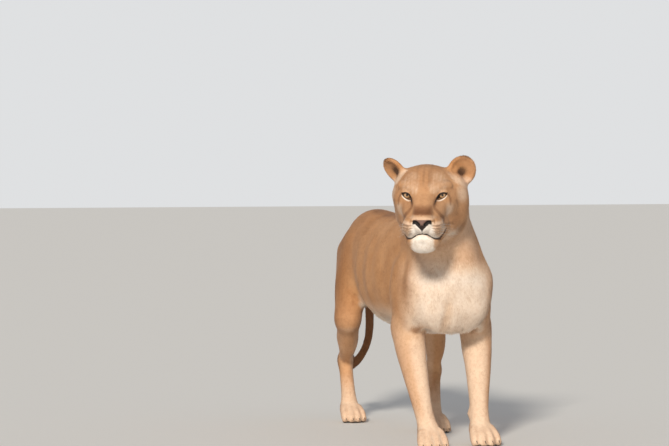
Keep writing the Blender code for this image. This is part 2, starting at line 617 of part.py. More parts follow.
def slit_outline(steps=6):
    """The almond between the lids: an upper and a lower arc, slanted down towards the nose."""
    slant = math.radians(SLIT_SLANT)
    points = []
    for height, way in ((SLIT_TOP, 1), (-SLIT_LOW, -1)):
        for step in range(steps):
            s = -way * SLIT_HALF * math.cos(math.pi * step / steps)
            u = height * (1 - (s / SLIT_HALF) ** 2)
            points.append((s * math.cos(slant) + u * math.sin(slant), u * math.cos(slant) - s * math.sin(slant)))
    return points


for name, out in (("left", 1), ("right", -1)):
    centre = from_head(EYE_PLACE * [out, 1, 1])
    boolean(head, "DIFFERENCE", eye_ball(centre, EYE_RADIUS + GAP))

    def slit(shape):
        rim = [shape.verts.new(from_head((out * (EYE_PLACE[0] + s), EYE_PLACE[1], EYE_PLACE[2] + u)))
               for s, u in slit_outline()]
        face = shape.faces.new(rim)
        grown = bmesh.ops.extrude_face_region(shape, geom=[face])["geom"]
        far = [v for v in grown if isinstance(v, bmesh.types.BMVert)]
        bmesh.ops.translate(shape, verts=far, vec=Vector(HEAD_FRONT * 0.08))

    boolean(head, "DIFFERENCE", closed_mesh(slit))
    eye = bpy.data.objects.new(f"eye_{name}", eye_ball(centre, EYE_RADIUS))
    bpy.context.scene.collection.objects.link(eye)
    dress(eye, f"eye_{name}", AMBER, WET_ROUGH)

# The whole stands over the origin.
bpy.context.view_layer.update()
corners = np.array([part.matrix_world @ Vector(corner) for part in WHOLE.children for corner in part.bound_box])
middle = (corners.min(0) + corners.max(0)) / 2
WHOLE.location = (-middle[0], -middle[1], 0)
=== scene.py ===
"""A life-size lioness standing in mid-step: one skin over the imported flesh, with its coat,
eyes, whiskers and claws. It faces -Y and +X is its left; sizes are in metres.
"""
import math

import bmesh
import bpy
import numpy as np
from mathutils import Matrix, Vector


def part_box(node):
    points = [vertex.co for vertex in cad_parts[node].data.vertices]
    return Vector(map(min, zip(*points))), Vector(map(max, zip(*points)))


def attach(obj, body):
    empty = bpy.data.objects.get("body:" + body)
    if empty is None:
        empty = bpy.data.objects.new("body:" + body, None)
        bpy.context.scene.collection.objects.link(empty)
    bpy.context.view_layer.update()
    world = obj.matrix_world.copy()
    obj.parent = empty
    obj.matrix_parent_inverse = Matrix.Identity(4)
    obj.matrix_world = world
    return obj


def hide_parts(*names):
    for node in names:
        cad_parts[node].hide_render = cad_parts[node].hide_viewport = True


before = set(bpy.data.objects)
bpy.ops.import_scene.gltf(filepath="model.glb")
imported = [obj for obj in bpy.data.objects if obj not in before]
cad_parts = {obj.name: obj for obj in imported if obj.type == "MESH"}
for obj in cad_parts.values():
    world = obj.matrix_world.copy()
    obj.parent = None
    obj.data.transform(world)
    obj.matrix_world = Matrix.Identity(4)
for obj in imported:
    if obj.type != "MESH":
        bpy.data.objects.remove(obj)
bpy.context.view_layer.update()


# ---------------------------------------------------------------- the lioness's form
# Her flesh is one smooth form: rounded lumps and swept tubes that melt into each other, each set by a
# few joints and half widths. The skin is a fine mesh pulled onto it, and the coat grows from the skin.
NECK_BLEND = 0.025     # how softly the head melts into the neck
FOREPAW_WIDE, FOREPAW_LONG = 0.108, 0.120
HINDPAW_WIDE, HINDPAW_LONG = 0.094, 0.112
EYE_RADIUS = 0.0215
EYE_PLACE = np.array([0.0670, -0.004, 0.0])      # of the left eye, in the head's own frame
HEAD_PLACE = np.array([-0.190, -0.715, 0.9825])  # midway between the eyes
HEAD_TURN, HEAD_DROP = 21.8, 11.0                # degrees towards the right, and downwards
EAR_WIDE, EAR_TALL, EAR_THICK = 0.056, 0.060, 0.020

FORELEGS = {
    "left": {
        "blade": (0.070, -0.22, 0.875), "shoulder": (0.103, -0.440, 0.640),
        "elbow": (0.156, -0.285, 0.455), "forearm": (0.150, -0.340, 0.300),
        "wrist": (0.142, -0.375, 0.165), "ball": (0.140, -0.400, 0.060), "turn": 0,
    },
    "right": {
        "blade": (-0.070, -0.24, 0.875), "shoulder": (-0.120, -0.455, 0.640),
        "elbow": (-0.130, -0.300, 0.455), "forearm": (-0.126, -0.385, 0.300),
        "wrist": (-0.114, -0.445, 0.165), "ball": (-0.096, -0.480, 0.060), "turn": -4,
    },
}
HINDLEGS = {
    "left": {
        "hip": (0.078, 0.520, 0.750), "knee": (0.142, 0.205, 0.470), "shin": (0.158, 0.235, 0.350),
        "hock": (0.164, 0.275, 0.245), "ball": (0.125, 0.155, 0.055), "turn": 0,
    },
    "right": {
        "hip": (-0.080, 0.560, 0.745), "knee": (-0.143, 0.480, 0.450), "shin": (-0.106, 0.610, 0.345),
        "hock": (-0.072, 0.765, 0.255), "ball": (-0.074, 0.690, 0.055), "turn": 0,
    },
}
EARS = {  # place, the way the cup opens, and the way the tip points, in the head's frame
    "left": ((0.133, -0.130, 0.066), (0.25, 1.0, 0.05), (0.30, -0.1, 1.0)),
    "right": ((-0.121, -0.140, 0.064), (-0.62, 0.66, -0.42), (-0.78, -0.25, 0.90)),
}


def unit(vector):
    vector = np.asarray(vector, float)
    return vector / np.linalg.norm(vector)


def between(a, b, t):
    return np.asarray(a, float) * (1 - t) + np.asarray(b, float) * t


def melt(a, b, k):
    """The union of two distances, rounded over a width k."""
    if k == 0:
        return np.minimum(a, b)
    h = np.clip(0.5 + 0.5 * (b - a) / k, 0, 1)
    return b + (a - b) * h - k * h * (1 - h)


def carve(a, b, k):
    """What is left of a once b is taken out of it, rounded over a width k."""
    return -melt(-a, b, k)


def smooth_line(points, steps):
    """Points along a smooth curve through the given ones."""
    if len(points) == 2:
        t = np.linspace(0, 1, steps + 1)[:, None]
        return points[0] * (1 - t) + points[1] * t
    padded = np.vstack([2 * points[0] - points[1], points, 2 * points[-1] - points[-2]])
    line = []
    for a, b, c, d in zip(padded, padded[1:], padded[2:], padded[3:]):
        for t in np.arange(steps) / steps:
            cubic = (3 * b - a - 3 * c + d) * t ** 3
            line.append(0.5 * (2 * b + (c - a) * t + (2 * a - 5 * b + 4 * c - d) * t ** 2 + cubic))
    line.append(points[-1])
    return np.array(line)


REACH = 0.09  # a form is not measured further away than this


class Ball:
    """An ellipsoid with half sizes along its own three axes."""

    def __init__(self, centre, radii, axes=((1, 0, 0), (0, 1, 0), (0, 0, 1))):
        self.centre, self.radii = np.array(centre, float), np.array(radii, float)
        self.axes = np.array(axes, float)

    def distance(self, points):
        result = np.ones(len(points))
        near = np.nonzero(((points - self.centre) ** 2).sum(1) < (self.radii.max() + REACH) ** 2)[0]
        local = (points[near] - self.centre) @ self.axes.T
        k0 = np.linalg.norm(local / self.radii, axis=1)
        k1 = np.linalg.norm(local / self.radii ** 2, axis=1)
        result[near] = k0 * (k0 - 1) / np.maximum(k1, 1e-9)
        return result

    def lumps(self):
        yield self.centre, self.radii, self.axes


class Sweep:
    """A tube of oval section along a smooth curve: stations of (centre, half width, half height)."""

    def __init__(self, stations, side=(1, 0, 0), steps=5):
        self.centres = smooth_line(np.array([s[0] for s in stations], float), steps)
        self.halves = smooth_line(np.array([s[1:] for s in stations], float), steps)
        runs = np.diff(self.centres, axis=0)
        self.lengths = np.linalg.norm(runs, axis=1)
        self.along = runs / self.lengths[:, None]
        side = np.array(side, float)
        side = side - self.along * (self.along @ side)[:, None]
        self.side = side / np.linalg.norm(side, axis=1)[:, None]
        self.up = np.cross(self.side, self.along)

    def distance(self, points):
        result = np.ones(len(points))
        low = self.centres.min(0) - self.halves.max() - REACH
        high = self.centres.max(0) + self.halves.max() + REACH
        near = np.nonzero(np.all((points > low) & (points < high), axis=1))[0]
        local, found = points[near], np.ones(len(near))
        for i, length in enumerate(self.lengths):
            middle = (self.centres[i] + self.centres[i + 1]) / 2
            reach = length / 2 + self.halves[i:i + 2].max() + REACH
            close = np.nonzero(((local - middle) ** 2).sum(1) < reach ** 2)[0]
            rel = local[close] - self.centres[i]
            t = np.clip(rel @ self.along[i] / length, 0, 1)
            rel = rel - np.outer(t * length, self.along[i])
            wide, high_half = (self.halves[i] + np.outer(t, self.halves[i + 1] - self.halves[i])).T
            cap = np.minimum(wide, high_half)
            k = np.sqrt((rel @ self.side[i] / wide) ** 2 + (rel @ self.up[i] / high_half) ** 2
                        + (rel @ self.along[i] / cap) ** 2)
            k = np.maximum(k, 1e-6)
            found[close] = np.minimum(found[close], np.linalg.norm(rel, axis=1) * (1 - 1 / k))
        result[near] = found
        return result

    def lumps(self):
        for i, length in enumerate(self.lengths):
            wide, high = (self.halves[i] + self.halves[i + 1]) / 2
            axes = np.array([self.side[i], self.along[i], self.up[i]])
            middle = (self.centres[i] + self.centres[i + 1]) / 2
            yield middle, np.array([wide, length / 2 + min(wide, high), high]), axes


# ---------------------------------------------------------------- the head, in its own frame
# The frame's axes are the head's left side, its front and its top; its origin is between the eyes.
turn, drop = math.radians(HEAD_TURN), math.radians(HEAD_DROP)
HEAD_FRONT = np.array([-math.sin(turn) * math.cos(drop), -math.cos(turn) * math.cos(drop), -math.sin(drop)])
HEAD_SIDE = np.array([math.cos(turn), -math.sin(turn), 0.0])
HEAD_AXES = np.array([HEAD_SIDE, HEAD_FRONT, np.cross(HEAD_FRONT, HEAD_SIDE)])

SKULL = [  # forms on the middle line, each with the width over which it melts into the rest
    (Ball((0, -0.100, 0.008), (0.098, 0.125, 0.088)), 0),                        # cranium
    (Ball((0, -0.030, 0.016), (0.070, 0.075, 0.050)), 0.030),                    # forehead
    (Sweep([((0, -0.010, -0.050), 0.066, 0.068), ((0, 0.060, -0.074), 0.058, 0.058),
            ((0, 0.112, -0.086), 0.048, 0.040), ((0, 0.135, -0.086), 0.040, 0.031)]), 0.030),  # muzzle
    (Ball((0, 0.094, -0.153), (0.051, 0.039, 0.048)), 0.014),                    # chin
    (Ball((0.106, -0.108, -0.045), (0.055, 0.068, 0.108)), 0.025),               # left ruff, the fuller one
    (Ball((0.086, -0.075, -0.128), (0.034, 0.050, 0.043)), 0.020),               # its lower end
]
FACE = [  # forms that both sides of the head have
    (Ball((0.040, -0.105, 0.015), (0.066, 0.105, 0.066)), 0.020),                # side of the crown
    (Ball((0.060, -0.060, -0.045), (0.058, 0.085, 0.076)), 0.030),               # cheek
    (Ball((0.074, -0.130, -0.034), (0.057, 0.078, 0.098)), 0.030),               # ruff of the cheek
    (Sweep([((0.013, -0.030, 0.018), 0.032, 0.032), ((0.013, 0.030, -0.005), 0.029, 0.029),
            ((0.012, 0.090, -0.036), 0.027, 0.027), ((0.011, 0.137, -0.062), 0.022, 0.022)]),
     0.018),                                                                     # nose bridge
    (Sweep([((0.032, 0.010, 0.020), 0.012, 0.012), ((0.057, 0.002, 0.036), 0.014, 0.012),
            ((0.090, -0.024, 0.034), 0.013, 0.012)]), 0.022),                    # brow
    (Sweep([((0.060, 0.030, -0.036), 0.018, 0.018), ((0.088, -0.020, -0.026), 0.022, 0.022),
            ((0.098, -0.080, -0.015), 0.026, 0.030)]), 0.025),                   # cheekbone
    (Ball((0.050, 0.040, -0.056), (0.029, 0.055, 0.036)), 0.025),                # side of the nose
    (Ball((0.042, 0.104, -0.098), (0.037, 0.047, 0.039)), 0.010),                # whisker pad
    (Sweep([((0.050, 0.080, -0.108), 0.026, 0.026), ((0.062, 0.020, -0.104), 0.026, 0.028)]), 0.020),  # lip
    (Sweep([((0.000, 0.128, -0.140), 0.015, 0.013), ((0.030, 0.117, -0.148), 0.015, 0.013),
            ((0.052, 0.088, -0.156), 0.014, 0.013)]), 0.010),                    # lower lip
    (Sweep([((0.020, 0.095, -0.156), 0.032, 0.036), ((0.055, 0.000, -0.132), 0.034, 0.038),
            ((0.078, -0.080, -0.105), 0.036, 0.050)]), 0.025),                   # lower jaw
]
NOSE = [  # the bare pad: a bar over the nostrils, a wedge between them and a wing outside each
    (Sweep([((0.000, 0.150, -0.063), 0.013, 0.010), ((0.030, 0.144, -0.061), 0.010, 0.009)]), 0.008),
    (Sweep([((0.000, 0.150, -0.078), 0.015, 0.020), ((0.000, 0.147, -0.100), 0.008, 0.010)]), 0.008),
    (Ball((0.034, 0.143, -0.070), (0.011, 0.015, 0.012)), 0.008),
]
GROOVES = [  # lines that sink into the face: points on or near it, half width, softness
    ([(-0.006, 0.152, -0.118), (0.014, 0.150, -0.122), (0.030, 0.142, -0.131), (0.047, 0.122, -0.142),
      (0.062, 0.092, -0.145), (0.075, 0.062, -0.135), (0.082, 0.035, -0.121)],
     0.0042, 0.006),                                                             # between the lips
    ([(0, 0.166, -0.092), (0, 0.158, -0.117)], 0.0030, 0.005),                   # below the nose
    ([(0.014, 0.166, -0.078), (0.024, 0.160, -0.070), (0.037, 0.150, -0.072)], 0.0062, 0.003),  # nostril
]
SOCKET_RADIUS, LID_THICK = 0.028, 0.0035
SLIT_HALF, SLIT_TOP, SLIT_LOW, SLIT_SLANT = 0.0195, 0.0090, 0.0068, -20
SOFT_MIDDLE = 0.004  # keeps the two sides of the face from meeting in a crease


def fold(local):
    """The same points, all on the left side of the head."""
    folded = local.copy()
    folded[:, 0] = np.sqrt(local[:, 0] ** 2 + SOFT_MIDDLE ** 2)
    return folded


def to_head(points):
    return (points - HEAD_PLACE) @ HEAD_AXES.T


def from_head(place):
    return HEAD_PLACE + np.asarray(place, float) @ HEAD_AXES


def ear_pair(name):
    """The ear's outer shape and the hollow of its cup."""
    place, opening, tip = EARS[name]
    opening = unit(opening)
    tip = unit(np.array(tip) - opening * np.dot(tip, opening))
    axes = np.array([np.cross(opening, tip), opening, tip])
    outer = Ball(place, (EAR_WIDE, EAR_THICK, EAR_TALL), axes)
    cup = Ball(place + opening * EAR_THICK, (EAR_WIDE * 0.86, EAR_THICK * 1.15, EAR_TALL * 0.88), axes)
    return outer, cup


def face_distance(local):
    """Distance to the head without its grooves and ears, in the head's frame."""
    folded = fold(local)
    distance = np.ones(len(local))
    for form, k in SKULL:
        distance = melt(distance, form.distance(local), k)
    for form, k in FACE:
        distance = melt(distance, form.distance(folded), k)
    to_eye = np.linalg.norm(folded - EYE_PLACE, axis=1)
    distance = carve(distance, to_eye - SOCKET_RADIUS, 0.012)
    distance = melt(distance, to_eye - EYE_RADIUS - LID_THICK, 0.015)
    for form, k in NOSE:
        distance = melt(distance, form.distance(folded), k)
    return distance


def pull_onto(points, distance, rounds=5, probe=0.001, longest_step=0.02):
    """Moves points down the slope of a distance until they lie on the surface where it is zero."""
    corners = np.array([[1, -1, -1], [-1, -1, 1], [-1, 1, -1], [1, 1, 1]]) * probe
    for _ in range(rounds):
        values = distance((points[:, None] + corners).reshape(-1, 3)).reshape(-1, 4)
        slope = values @ corners / (4 * probe ** 2)
        steepness = np.maximum((slope ** 2).sum(1), 0.25)
        step = slope * (values.mean(1) / steepness)[:, None]
        length = np.maximum(np.linalg.norm(step, axis=1), 1e-9)
        points = points - step * np.minimum(1, longest_step / length)[:, None]
    return points


FURROWS = []
for line, half, k in GROOVES:
    laid = pull_onto(smooth_line(np.array(line, float), 4), face_distance)
    FURROWS.append((Sweep([(place, half, half) for place in laid], steps=1), k))


def head_distance(points):
    local = to_head(points)
    folded = fold(local)
    distance = face_distance(local)
    for furrow, k in FURROWS:
        distance = carve(distance, furrow.distance(folded), k)
    for name in EARS:
        outer, cup = ear_pair(name)
        distance = melt(distance, carve(outer.distance(local), cup.distance(local), 0.006), 0.020)
    return distance


# ---------------------------------------------------------------- the body
# The trunk with the neck, the four legs with their paws, and the tail. Each form comes with the width
# over which it melts into the rest.
def trunk_forms():
    yield Sweep([((0, -0.47, 0.665), 0.115, 0.165), ((0, -0.38, 0.685), 0.140, 0.215),
                 ((0, -0.25, 0.690), 0.152, 0.240), ((0, -0.08, 0.675), 0.162, 0.232),
                 ((0, 0.10, 0.660), 0.170, 0.227), ((0, 0.28, 0.666), 0.163, 0.222),
                 ((0, 0.42, 0.700), 0.146, 0.198), ((0, 0.56, 0.725), 0.126, 0.176),
                 ((0, 0.67, 0.715), 0.102, 0.148), ((0, 0.71, 0.705), 0.078, 0.120)], steps=9), 0
    yield Sweep([((0.000, -0.24, 0.780), 0.095, 0.150), ((-0.015, -0.36, 0.820), 0.118, 0.165),
                 ((-0.056, -0.47, 0.875), 0.122, 0.150), ((-0.096, -0.57, 0.935), 0.120, 0.126),
                 ((-0.125, -0.63, 0.965), 0.105, 0.100)], steps=8), 0.05       # neck
    for side in (1, -1):
        yield Ball((side * 0.068, -0.470, 0.590), (0.085, 0.085, 0.135)), 0.05   # breast muscle
    yield Sweep([((0, -0.44, 0.530), 0.085, 0.085), ((0, -0.20, 0.520), 0.085, 0.085)]), 0.05  # breastbone


def paw_forms(ball, turn_degrees, wide, long):
    """The sole of a foot and its four toes, fanned in front of the ball."""
    angle = math.radians(turn_degrees)
    side = np.array([math.cos(angle), math.sin(angle), 0])
    ahead = np.array([math.sin(angle), -math.cos(angle), 0])
    ball = np.array(ball)
    sole = [(ball - ahead * 0.012, wide * 0.36, 0.040),
            (ball + ahead * long * 0.30 - [0, 0, 0.023], wide * 0.42, 0.036)]
    yield Sweep(sole, side=side), 0.020
    for place in (-1.5, -0.5, 0.5, 1.5):
        out = side * place * wide * 0.27
        reach = long * (0.74 - 0.055 * place ** 2)
        root = ball + out * 0.8 + ahead * long * 0.18
        knuckle = ball + out + ahead * reach * 0.72
        tip = ball + out * 1.04 + ahead * reach
        knuckle[2], tip[2] = 0.035, 0.016
        toe = [(root, 0.018, 0.022), (knuckle, wide * 0.160, 0.024), (tip, wide * 0.148, 0.020)]
        yield Sweep(toe, side=side, steps=4), 0.010


def foreleg_forms(joints, out):
    blade, shoulder, elbow, forearm, wrist, ball = (
        np.array(joints[name]) for name in ("blade", "shoulder", "elbow", "forearm", "wrist", "ball"))
    yield Sweep([(blade, 0.036, 0.075), (between(blade, shoulder, 0.5), 0.048, 0.095),
                 (shoulder, 0.052, 0.085)]), 0.04
    yield Sweep([(shoulder, 0.055, 0.085), (between(shoulder, elbow, 0.5), 0.058, 0.098),
                 (elbow, 0.054, 0.076)]), 0.04
    yield Ball((out * 0.143, -0.30, 0.60), (0.050, 0.10, 0.13)), 0.04            # triceps
    yield Sweep([(elbow, 0.060, 0.070), (between(elbow, forearm, 0.45), 0.061, 0.066),
                 (forearm, 0.052, 0.054), (wrist, 0.039, 0.042),
                 (between(wrist, ball, 0.6), 0.038, 0.038), (ball, 0.041, 0.040)]), 0.03
    yield Sweep([(elbow + [0, 0.045, 0.015], 0.022, 0.024), (elbow + [0, 0.020, -0.080], 0.024, 0.030)]), 0.03
    yield Ball(wrist + [out * 0.004, 0.036, -0.005], (0.014, 0.014, 0.020)), 0.012   # carpal pad
    yield Ball(wrist + [-out * 0.034, 0.010, -0.045], (0.013, 0.016, 0.022)), 0.012  # dewclaw
    yield from paw_forms(ball, joints["turn"], FOREPAW_WIDE, FOREPAW_LONG)


def hindleg_forms(joints):
    hip, knee, shin, hock, ball = (
        np.array(joints[name]) for name in ("hip", "knee", "shin", "hock", "ball"))
    seat = hip + [0, 0.10, -0.03]
    yield Sweep([(hip, 0.060, 0.125), (between(hip, knee, 0.5), 0.068, 0.128), (knee, 0.052, 0.074)]), 0.05
    yield Sweep([(seat, 0.052, 0.080), (between(seat, shin, 0.55), 0.056, 0.080),
                 (between(hip, shin, 0.92) + [0, 0.02, 0], 0.040, 0.050)]), 0.04     # hamstring
    yield Sweep([(knee, 0.048, 0.064), (shin, 0.042, 0.052), (between(shin, hock, 0.7), 0.028, 0.036),
                 (hock, 0.030, 0.038)]), 0.03
    yield Sweep([(between(shin, hock, 0.35) + [0, 0.028, 0.030], 0.016, 0.020),
                 (hock + [0, 0.026, 0.022], 0.015, 0.017)]), 0.02                    # heel tendon
    yield Sweep([(hock, 0.032, 0.040), (between(hock, ball, 0.35), 0.030, 0.034),
                 (between(hock, ball, 0.8), 0.033, 0.034), (ball, 0.038, 0.036)]), 0.02
    yield from paw_forms(ball, joints["turn"], HINDPAW_WIDE, HINDPAW_LONG)


def tail_forms():
    yield Sweep([((0.000, 0.680, 0.800), 0.045, 0.045), ((0.005, 0.775, 0.775), 0.034, 0.034),
                 ((0.030, 0.852, 0.670), 0.026, 0.026), ((0.058, 0.862, 0.520), 0.022, 0.022),
                 ((0.066, 0.865, 0.400), 0.020, 0.020), ((0.056, 0.870, 0.318), 0.019, 0.019),
                 ((0.026, 0.888, 0.252), 0.020, 0.020), ((0.002, 0.934, 0.224), 0.026, 0.026),
                 ((0.010, 0.990, 0.228), 0.027, 0.027), ((0.026, 1.038, 0.250), 0.014, 0.014),
                 ((0.034, 1.056, 0.262), 0.005, 0.005)], steps=4), 0.03


BODY = [*trunk_forms()]
for name, out in (("left", 1), ("right", -1)):
    BODY += foreleg_forms(FORELEGS[name], out)
    BODY += hindleg_forms(HINDLEGS[name])
BODY += tail_forms()


JAW_CREASES = [  # where the ruff of each cheek and the jaw overhang the neck, in the head's frame
    Sweep([((0.045, 0.010, -0.208), 0.014, 0.014), ((0.086, -0.032, -0.196), 0.020, 0.020),
           ((0.122, -0.076, -0.169), 0.023, 0.023), ((0.155, -0.112, -0.126), 0.021, 0.021),
           ((0.182, -0.142, -0.074), 0.014, 0.014)], steps=4),
    Sweep([((-0.045, 0.010, -0.204), 0.014, 0.014), ((-0.081, -0.032, -0.184), 0.018, 0.018),
           ((-0.108, -0.078, -0.154), 0.018, 0.018), ((-0.132, -0.120, -0.108), 0.012, 0.012)], steps=4),
]


def lioness_distance(points):
    distance = np.ones(len(points))
    for form, k in BODY:
        distance = melt(distance, form.distance(points), k)
    distance = melt(distance, head_distance(points), NECK_BLEND)
    for crease in JAW_CREASES:
        distance = carve(distance, crease.distance(to_head(points)), 0.010)
    return distance


# ---------------------------------------------------------------- clay, pulled onto the form
# Balls that roughly fill the form are remade into one closed skin, and its corners are moved onto the form.
def all_lumps():
    """The centre, radii and axes of each ball."""
    for form, _ in BODY:
        yield from form.lumps()
    for name in EARS:
        for centre, radii, axes in ear_pair(name)[0].lumps():
            yield from_head(centre), radii, axes @ HEAD_AXES
    paired = FACE + NOSE + [(Ball(EYE_PLACE, [EYE_RADIUS + LID_THICK] * 3), 0)]
    for mirrored, forms in ((False, SKULL), (False, paired), (True, paired)):
        flip = np.array([-1 if mirrored else 1, 1, 1])
        for form, _ in forms:
            for centre, radii, axes in form.lumps():
                yield from_head(centre * flip), radii, (axes * flip) @ HEAD_AXES


def rough_clay(name, grain):
    """One closed skin round lumps that roughly fill the form."""
    clay = bmesh.new()
    for centre, radii, axes in all_lumps():
        place = Matrix.Identity(4)
        for column in range(3):
            place.col[column][:3] = axes[column] * radii[column]
        place.translation = centre
        if place.determinant() < 0:
            place.col[0] = -place.col[0]
        bmesh.ops.create_icosphere(clay, subdivisions=2, radius=1.0, matrix=place)
    mesh = bpy.data.meshes.new(name)
    clay.to_mesh(mesh)
    clay.free()
    thing = bpy.data.objects.new(name, mesh)
    bpy.context.scene.collection.objects.link(thing)
    even_out(thing, grain)
    return thing


def even_out(thing, grain):
    """Gives a thing one outer skin of even grain."""
    remesh = thing.modifiers.new("grain", "REMESH")
    remesh.mode = "VOXEL"
    remesh.voxel_size = grain
    settle(thing)


def settle(thing):
    """Applies a thing's modifiers."""
    bpy.context.view_layer.update()
    graph = bpy.context.evaluated_depsgraph_get()
    mesh = bpy.data.meshes.new_from_object(thing.evaluated_get(graph))
    thing.modifiers.clear()
    thing.data = mesh


def smooth(skin, corners):
    bmesh.ops.smooth_vert(skin, verts=corners, factor=0.5,
                          use_axis_x=True, use_axis_y=True, use_axis_z=True)


def pull_mesh(mesh, distance, rounds, chosen=None):
    """Pulls a skin, or the chosen part of it, onto a form, and smooths out the specks that this leaves."""
    flat = np.empty(len(mesh.vertices) * 3, np.float32)
    mesh.vertices.foreach_get("co", flat)
    points = flat.reshape(-1, 3).astype(float)
    picked = np.ones(len(points), bool) if chosen is None else chosen(points)
    points[picked] = pull_onto(points[picked], distance, rounds)
    mesh.vertices.foreach_set("co", points.astype(np.float32).ravel())
    skin = bmesh.new()
    skin.from_mesh(mesh)
    smooth(skin, [corner for corner in skin.verts if picked[corner.index]])
    skin.to_mesh(mesh)
    skin.free()


# ---------------------------------------------------------------- the skin's mesh
# One closed mesh, remade at an even grain and pulled onto the form, finer on the head and finest round
# the eyes, the nose and the lips. The lids are cut last.
GRAIN = 0.006       # of the first skin; the head gets half of it, and the eyes, nose and lips a quarter
IRONING = 12        # rounds of smoothing over the body, above the paws
PAW_TALL = 0.10
FINE_MARGIN = 0.004  # the finest pull reaches this far past the finest grain
FLESH = [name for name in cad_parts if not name.startswith("eye_")]


def near_face(places, margin):
    """Whether places lie round the eyes, the nose and the lips."""
    local = to_head(places)
    side, front, up = np.abs(local[:, 0]), local[:, 1], local[:, 2]
    eyes = np.linalg.norm(fold(local) - EYE_PLACE, axis=1) < 0.036 + margin
    muzzle = (front > 0.060 - margin) & (side < 0.085 + margin)
    return eyes | muzzle & (up > -0.175 - margin) & (up < -0.045 + margin)


def on_head(places):
    """Whether places lie on the head or the top of the neck."""
    local = to_head(places)
    within = np.linalg.norm(local + [0, 0.05, 0.02], axis=1) < 0.30
    return within & (local[:, 1] > -0.19) & (local[:, 2] > -0.24)


def refine(mesh, chosen):
    """Halves the grain where chosen says so."""
    skin = bmesh.new()
    skin.from_mesh(mesh)
    places = np.array([corner.co for corner in skin.verts])
    picked = chosen(places)
    edges = [edge for edge in skin.edges if picked[edge.verts[0].index] and picked[edge.verts[1].index]]
    bmesh.ops.subdivide_edges(skin, edges=edges, cuts=1, use_grid_fill=True)
    bmesh.ops.triangulate(skin, faces=[face for face in skin.faces if len(face.verts) > 4])
    skin.to_mesh(mesh)
    skin.free()


def iron(mesh, chosen, times):
    """Smooths small ripples out of the chosen part."""
    skin = bmesh.new()
    skin.from_mesh(mesh)
    picked = chosen(np.array([corner.co for corner in skin.verts]))
    corners = [corner for corner in skin.verts if picked[corner.index]]
    for _ in range(times):
        smooth(skin, corners)
    skin.to_mesh(mesh)
    skin.free()


skin = rough_clay("skin", GRAIN)
pull_mesh(skin.data, lioness_distance, rounds=5)
even_out(skin, GRAIN)
pull_mesh(skin.data, lioness_distance, rounds=1)
iron(skin.data, lambda places: ~on_head(places) & (places[:, 2] > PAW_TALL), IRONING)
refine(skin.data, on_head)
pull_mesh(skin.data, lioness_distance, rounds=2, chosen=on_head)
refine(skin.data, lambda places: near_face(places, 0.0))
pull_mesh(skin.data, lioness_distance, rounds=2, chosen=lambda places: near_face(places, FINE_MARGIN))


# The lids: a pocket for each eye and an almond slit over it, cut with closed blocks.
EYE_ROOM = 0.0004       # between an eyeball and its pocket
SLIT_DEEP = 0.08        # the slit's block reaches this far out of the head


def closed_mesh(build):
    """Runs build on a new bmesh, turns its faces outwards and returns it as a mesh."""
    shape = bmesh.new()
    build(shape)
    bmesh.ops.recalc_face_normals(shape, faces=shape.faces)
    bmesh.ops.triangulate(shape, faces=shape.faces)
    mesh = bpy.data.meshes.new("shape")
    shape.to_mesh(mesh)
    shape.free()
    return mesh


def cut_away(thing, cutter_mesh):
    """Takes a closed mesh out of a thing."""
    cutter = bpy.data.objects.new("cutter", cutter_mesh)
    bpy.context.scene.collection.objects.link(cutter)
    cut = thing.modifiers.new("cut", "BOOLEAN")
    cut.operation, cut.solver, cut.object = "DIFFERENCE", "MANIFOLD", cutter
    settle(thing)
    bpy.data.objects.remove(cutter)


def slit_outline(steps=12):
    """The almond between the lids: an upper and a lower arc, slanted down towards the nose."""
    slant = math.radians(SLIT_SLANT)
    points = []
    for height, way in ((SLIT_TOP, 1), (-SLIT_LOW, -1)):
        for step in range(steps):
            s = -way * SLIT_HALF * math.cos(math.pi * step / steps)
            u = height * (1 - (s / SLIT_HALF) ** 2)
            points.append((s * math.cos(slant) + u * math.sin(slant),
                           u * math.cos(slant) - s * math.sin(slant)))
    return points


for out in (1, -1):
    centre = from_head(EYE_PLACE * [out, 1, 1])

    def pocket(shape):
        bmesh.ops.create_icosphere(shape, subdivisions=5, radius=EYE_RADIUS + EYE_ROOM,
                                   matrix=Matrix.Translation(centre))

    def slit(shape):
        rim = [shape.verts.new(from_head((out * (EYE_PLACE[0] + s), EYE_PLACE[1], EYE_PLACE[2] + u)))
               for s, u in slit_outline()]
        face = shape.faces.new(rim)
        grown = bmesh.ops.extrude_face_region(shape, geom=[face])["geom"]
        far = [v for v in grown if isinstance(v, bmesh.types.BMVert)]
        bmesh.ops.translate(shape, verts=far, vec=Vector(HEAD_FRONT * SLIT_DEEP))

    cut_away(skin, closed_mesh(pocket))
    cut_away(skin, closed_mesh(slit))


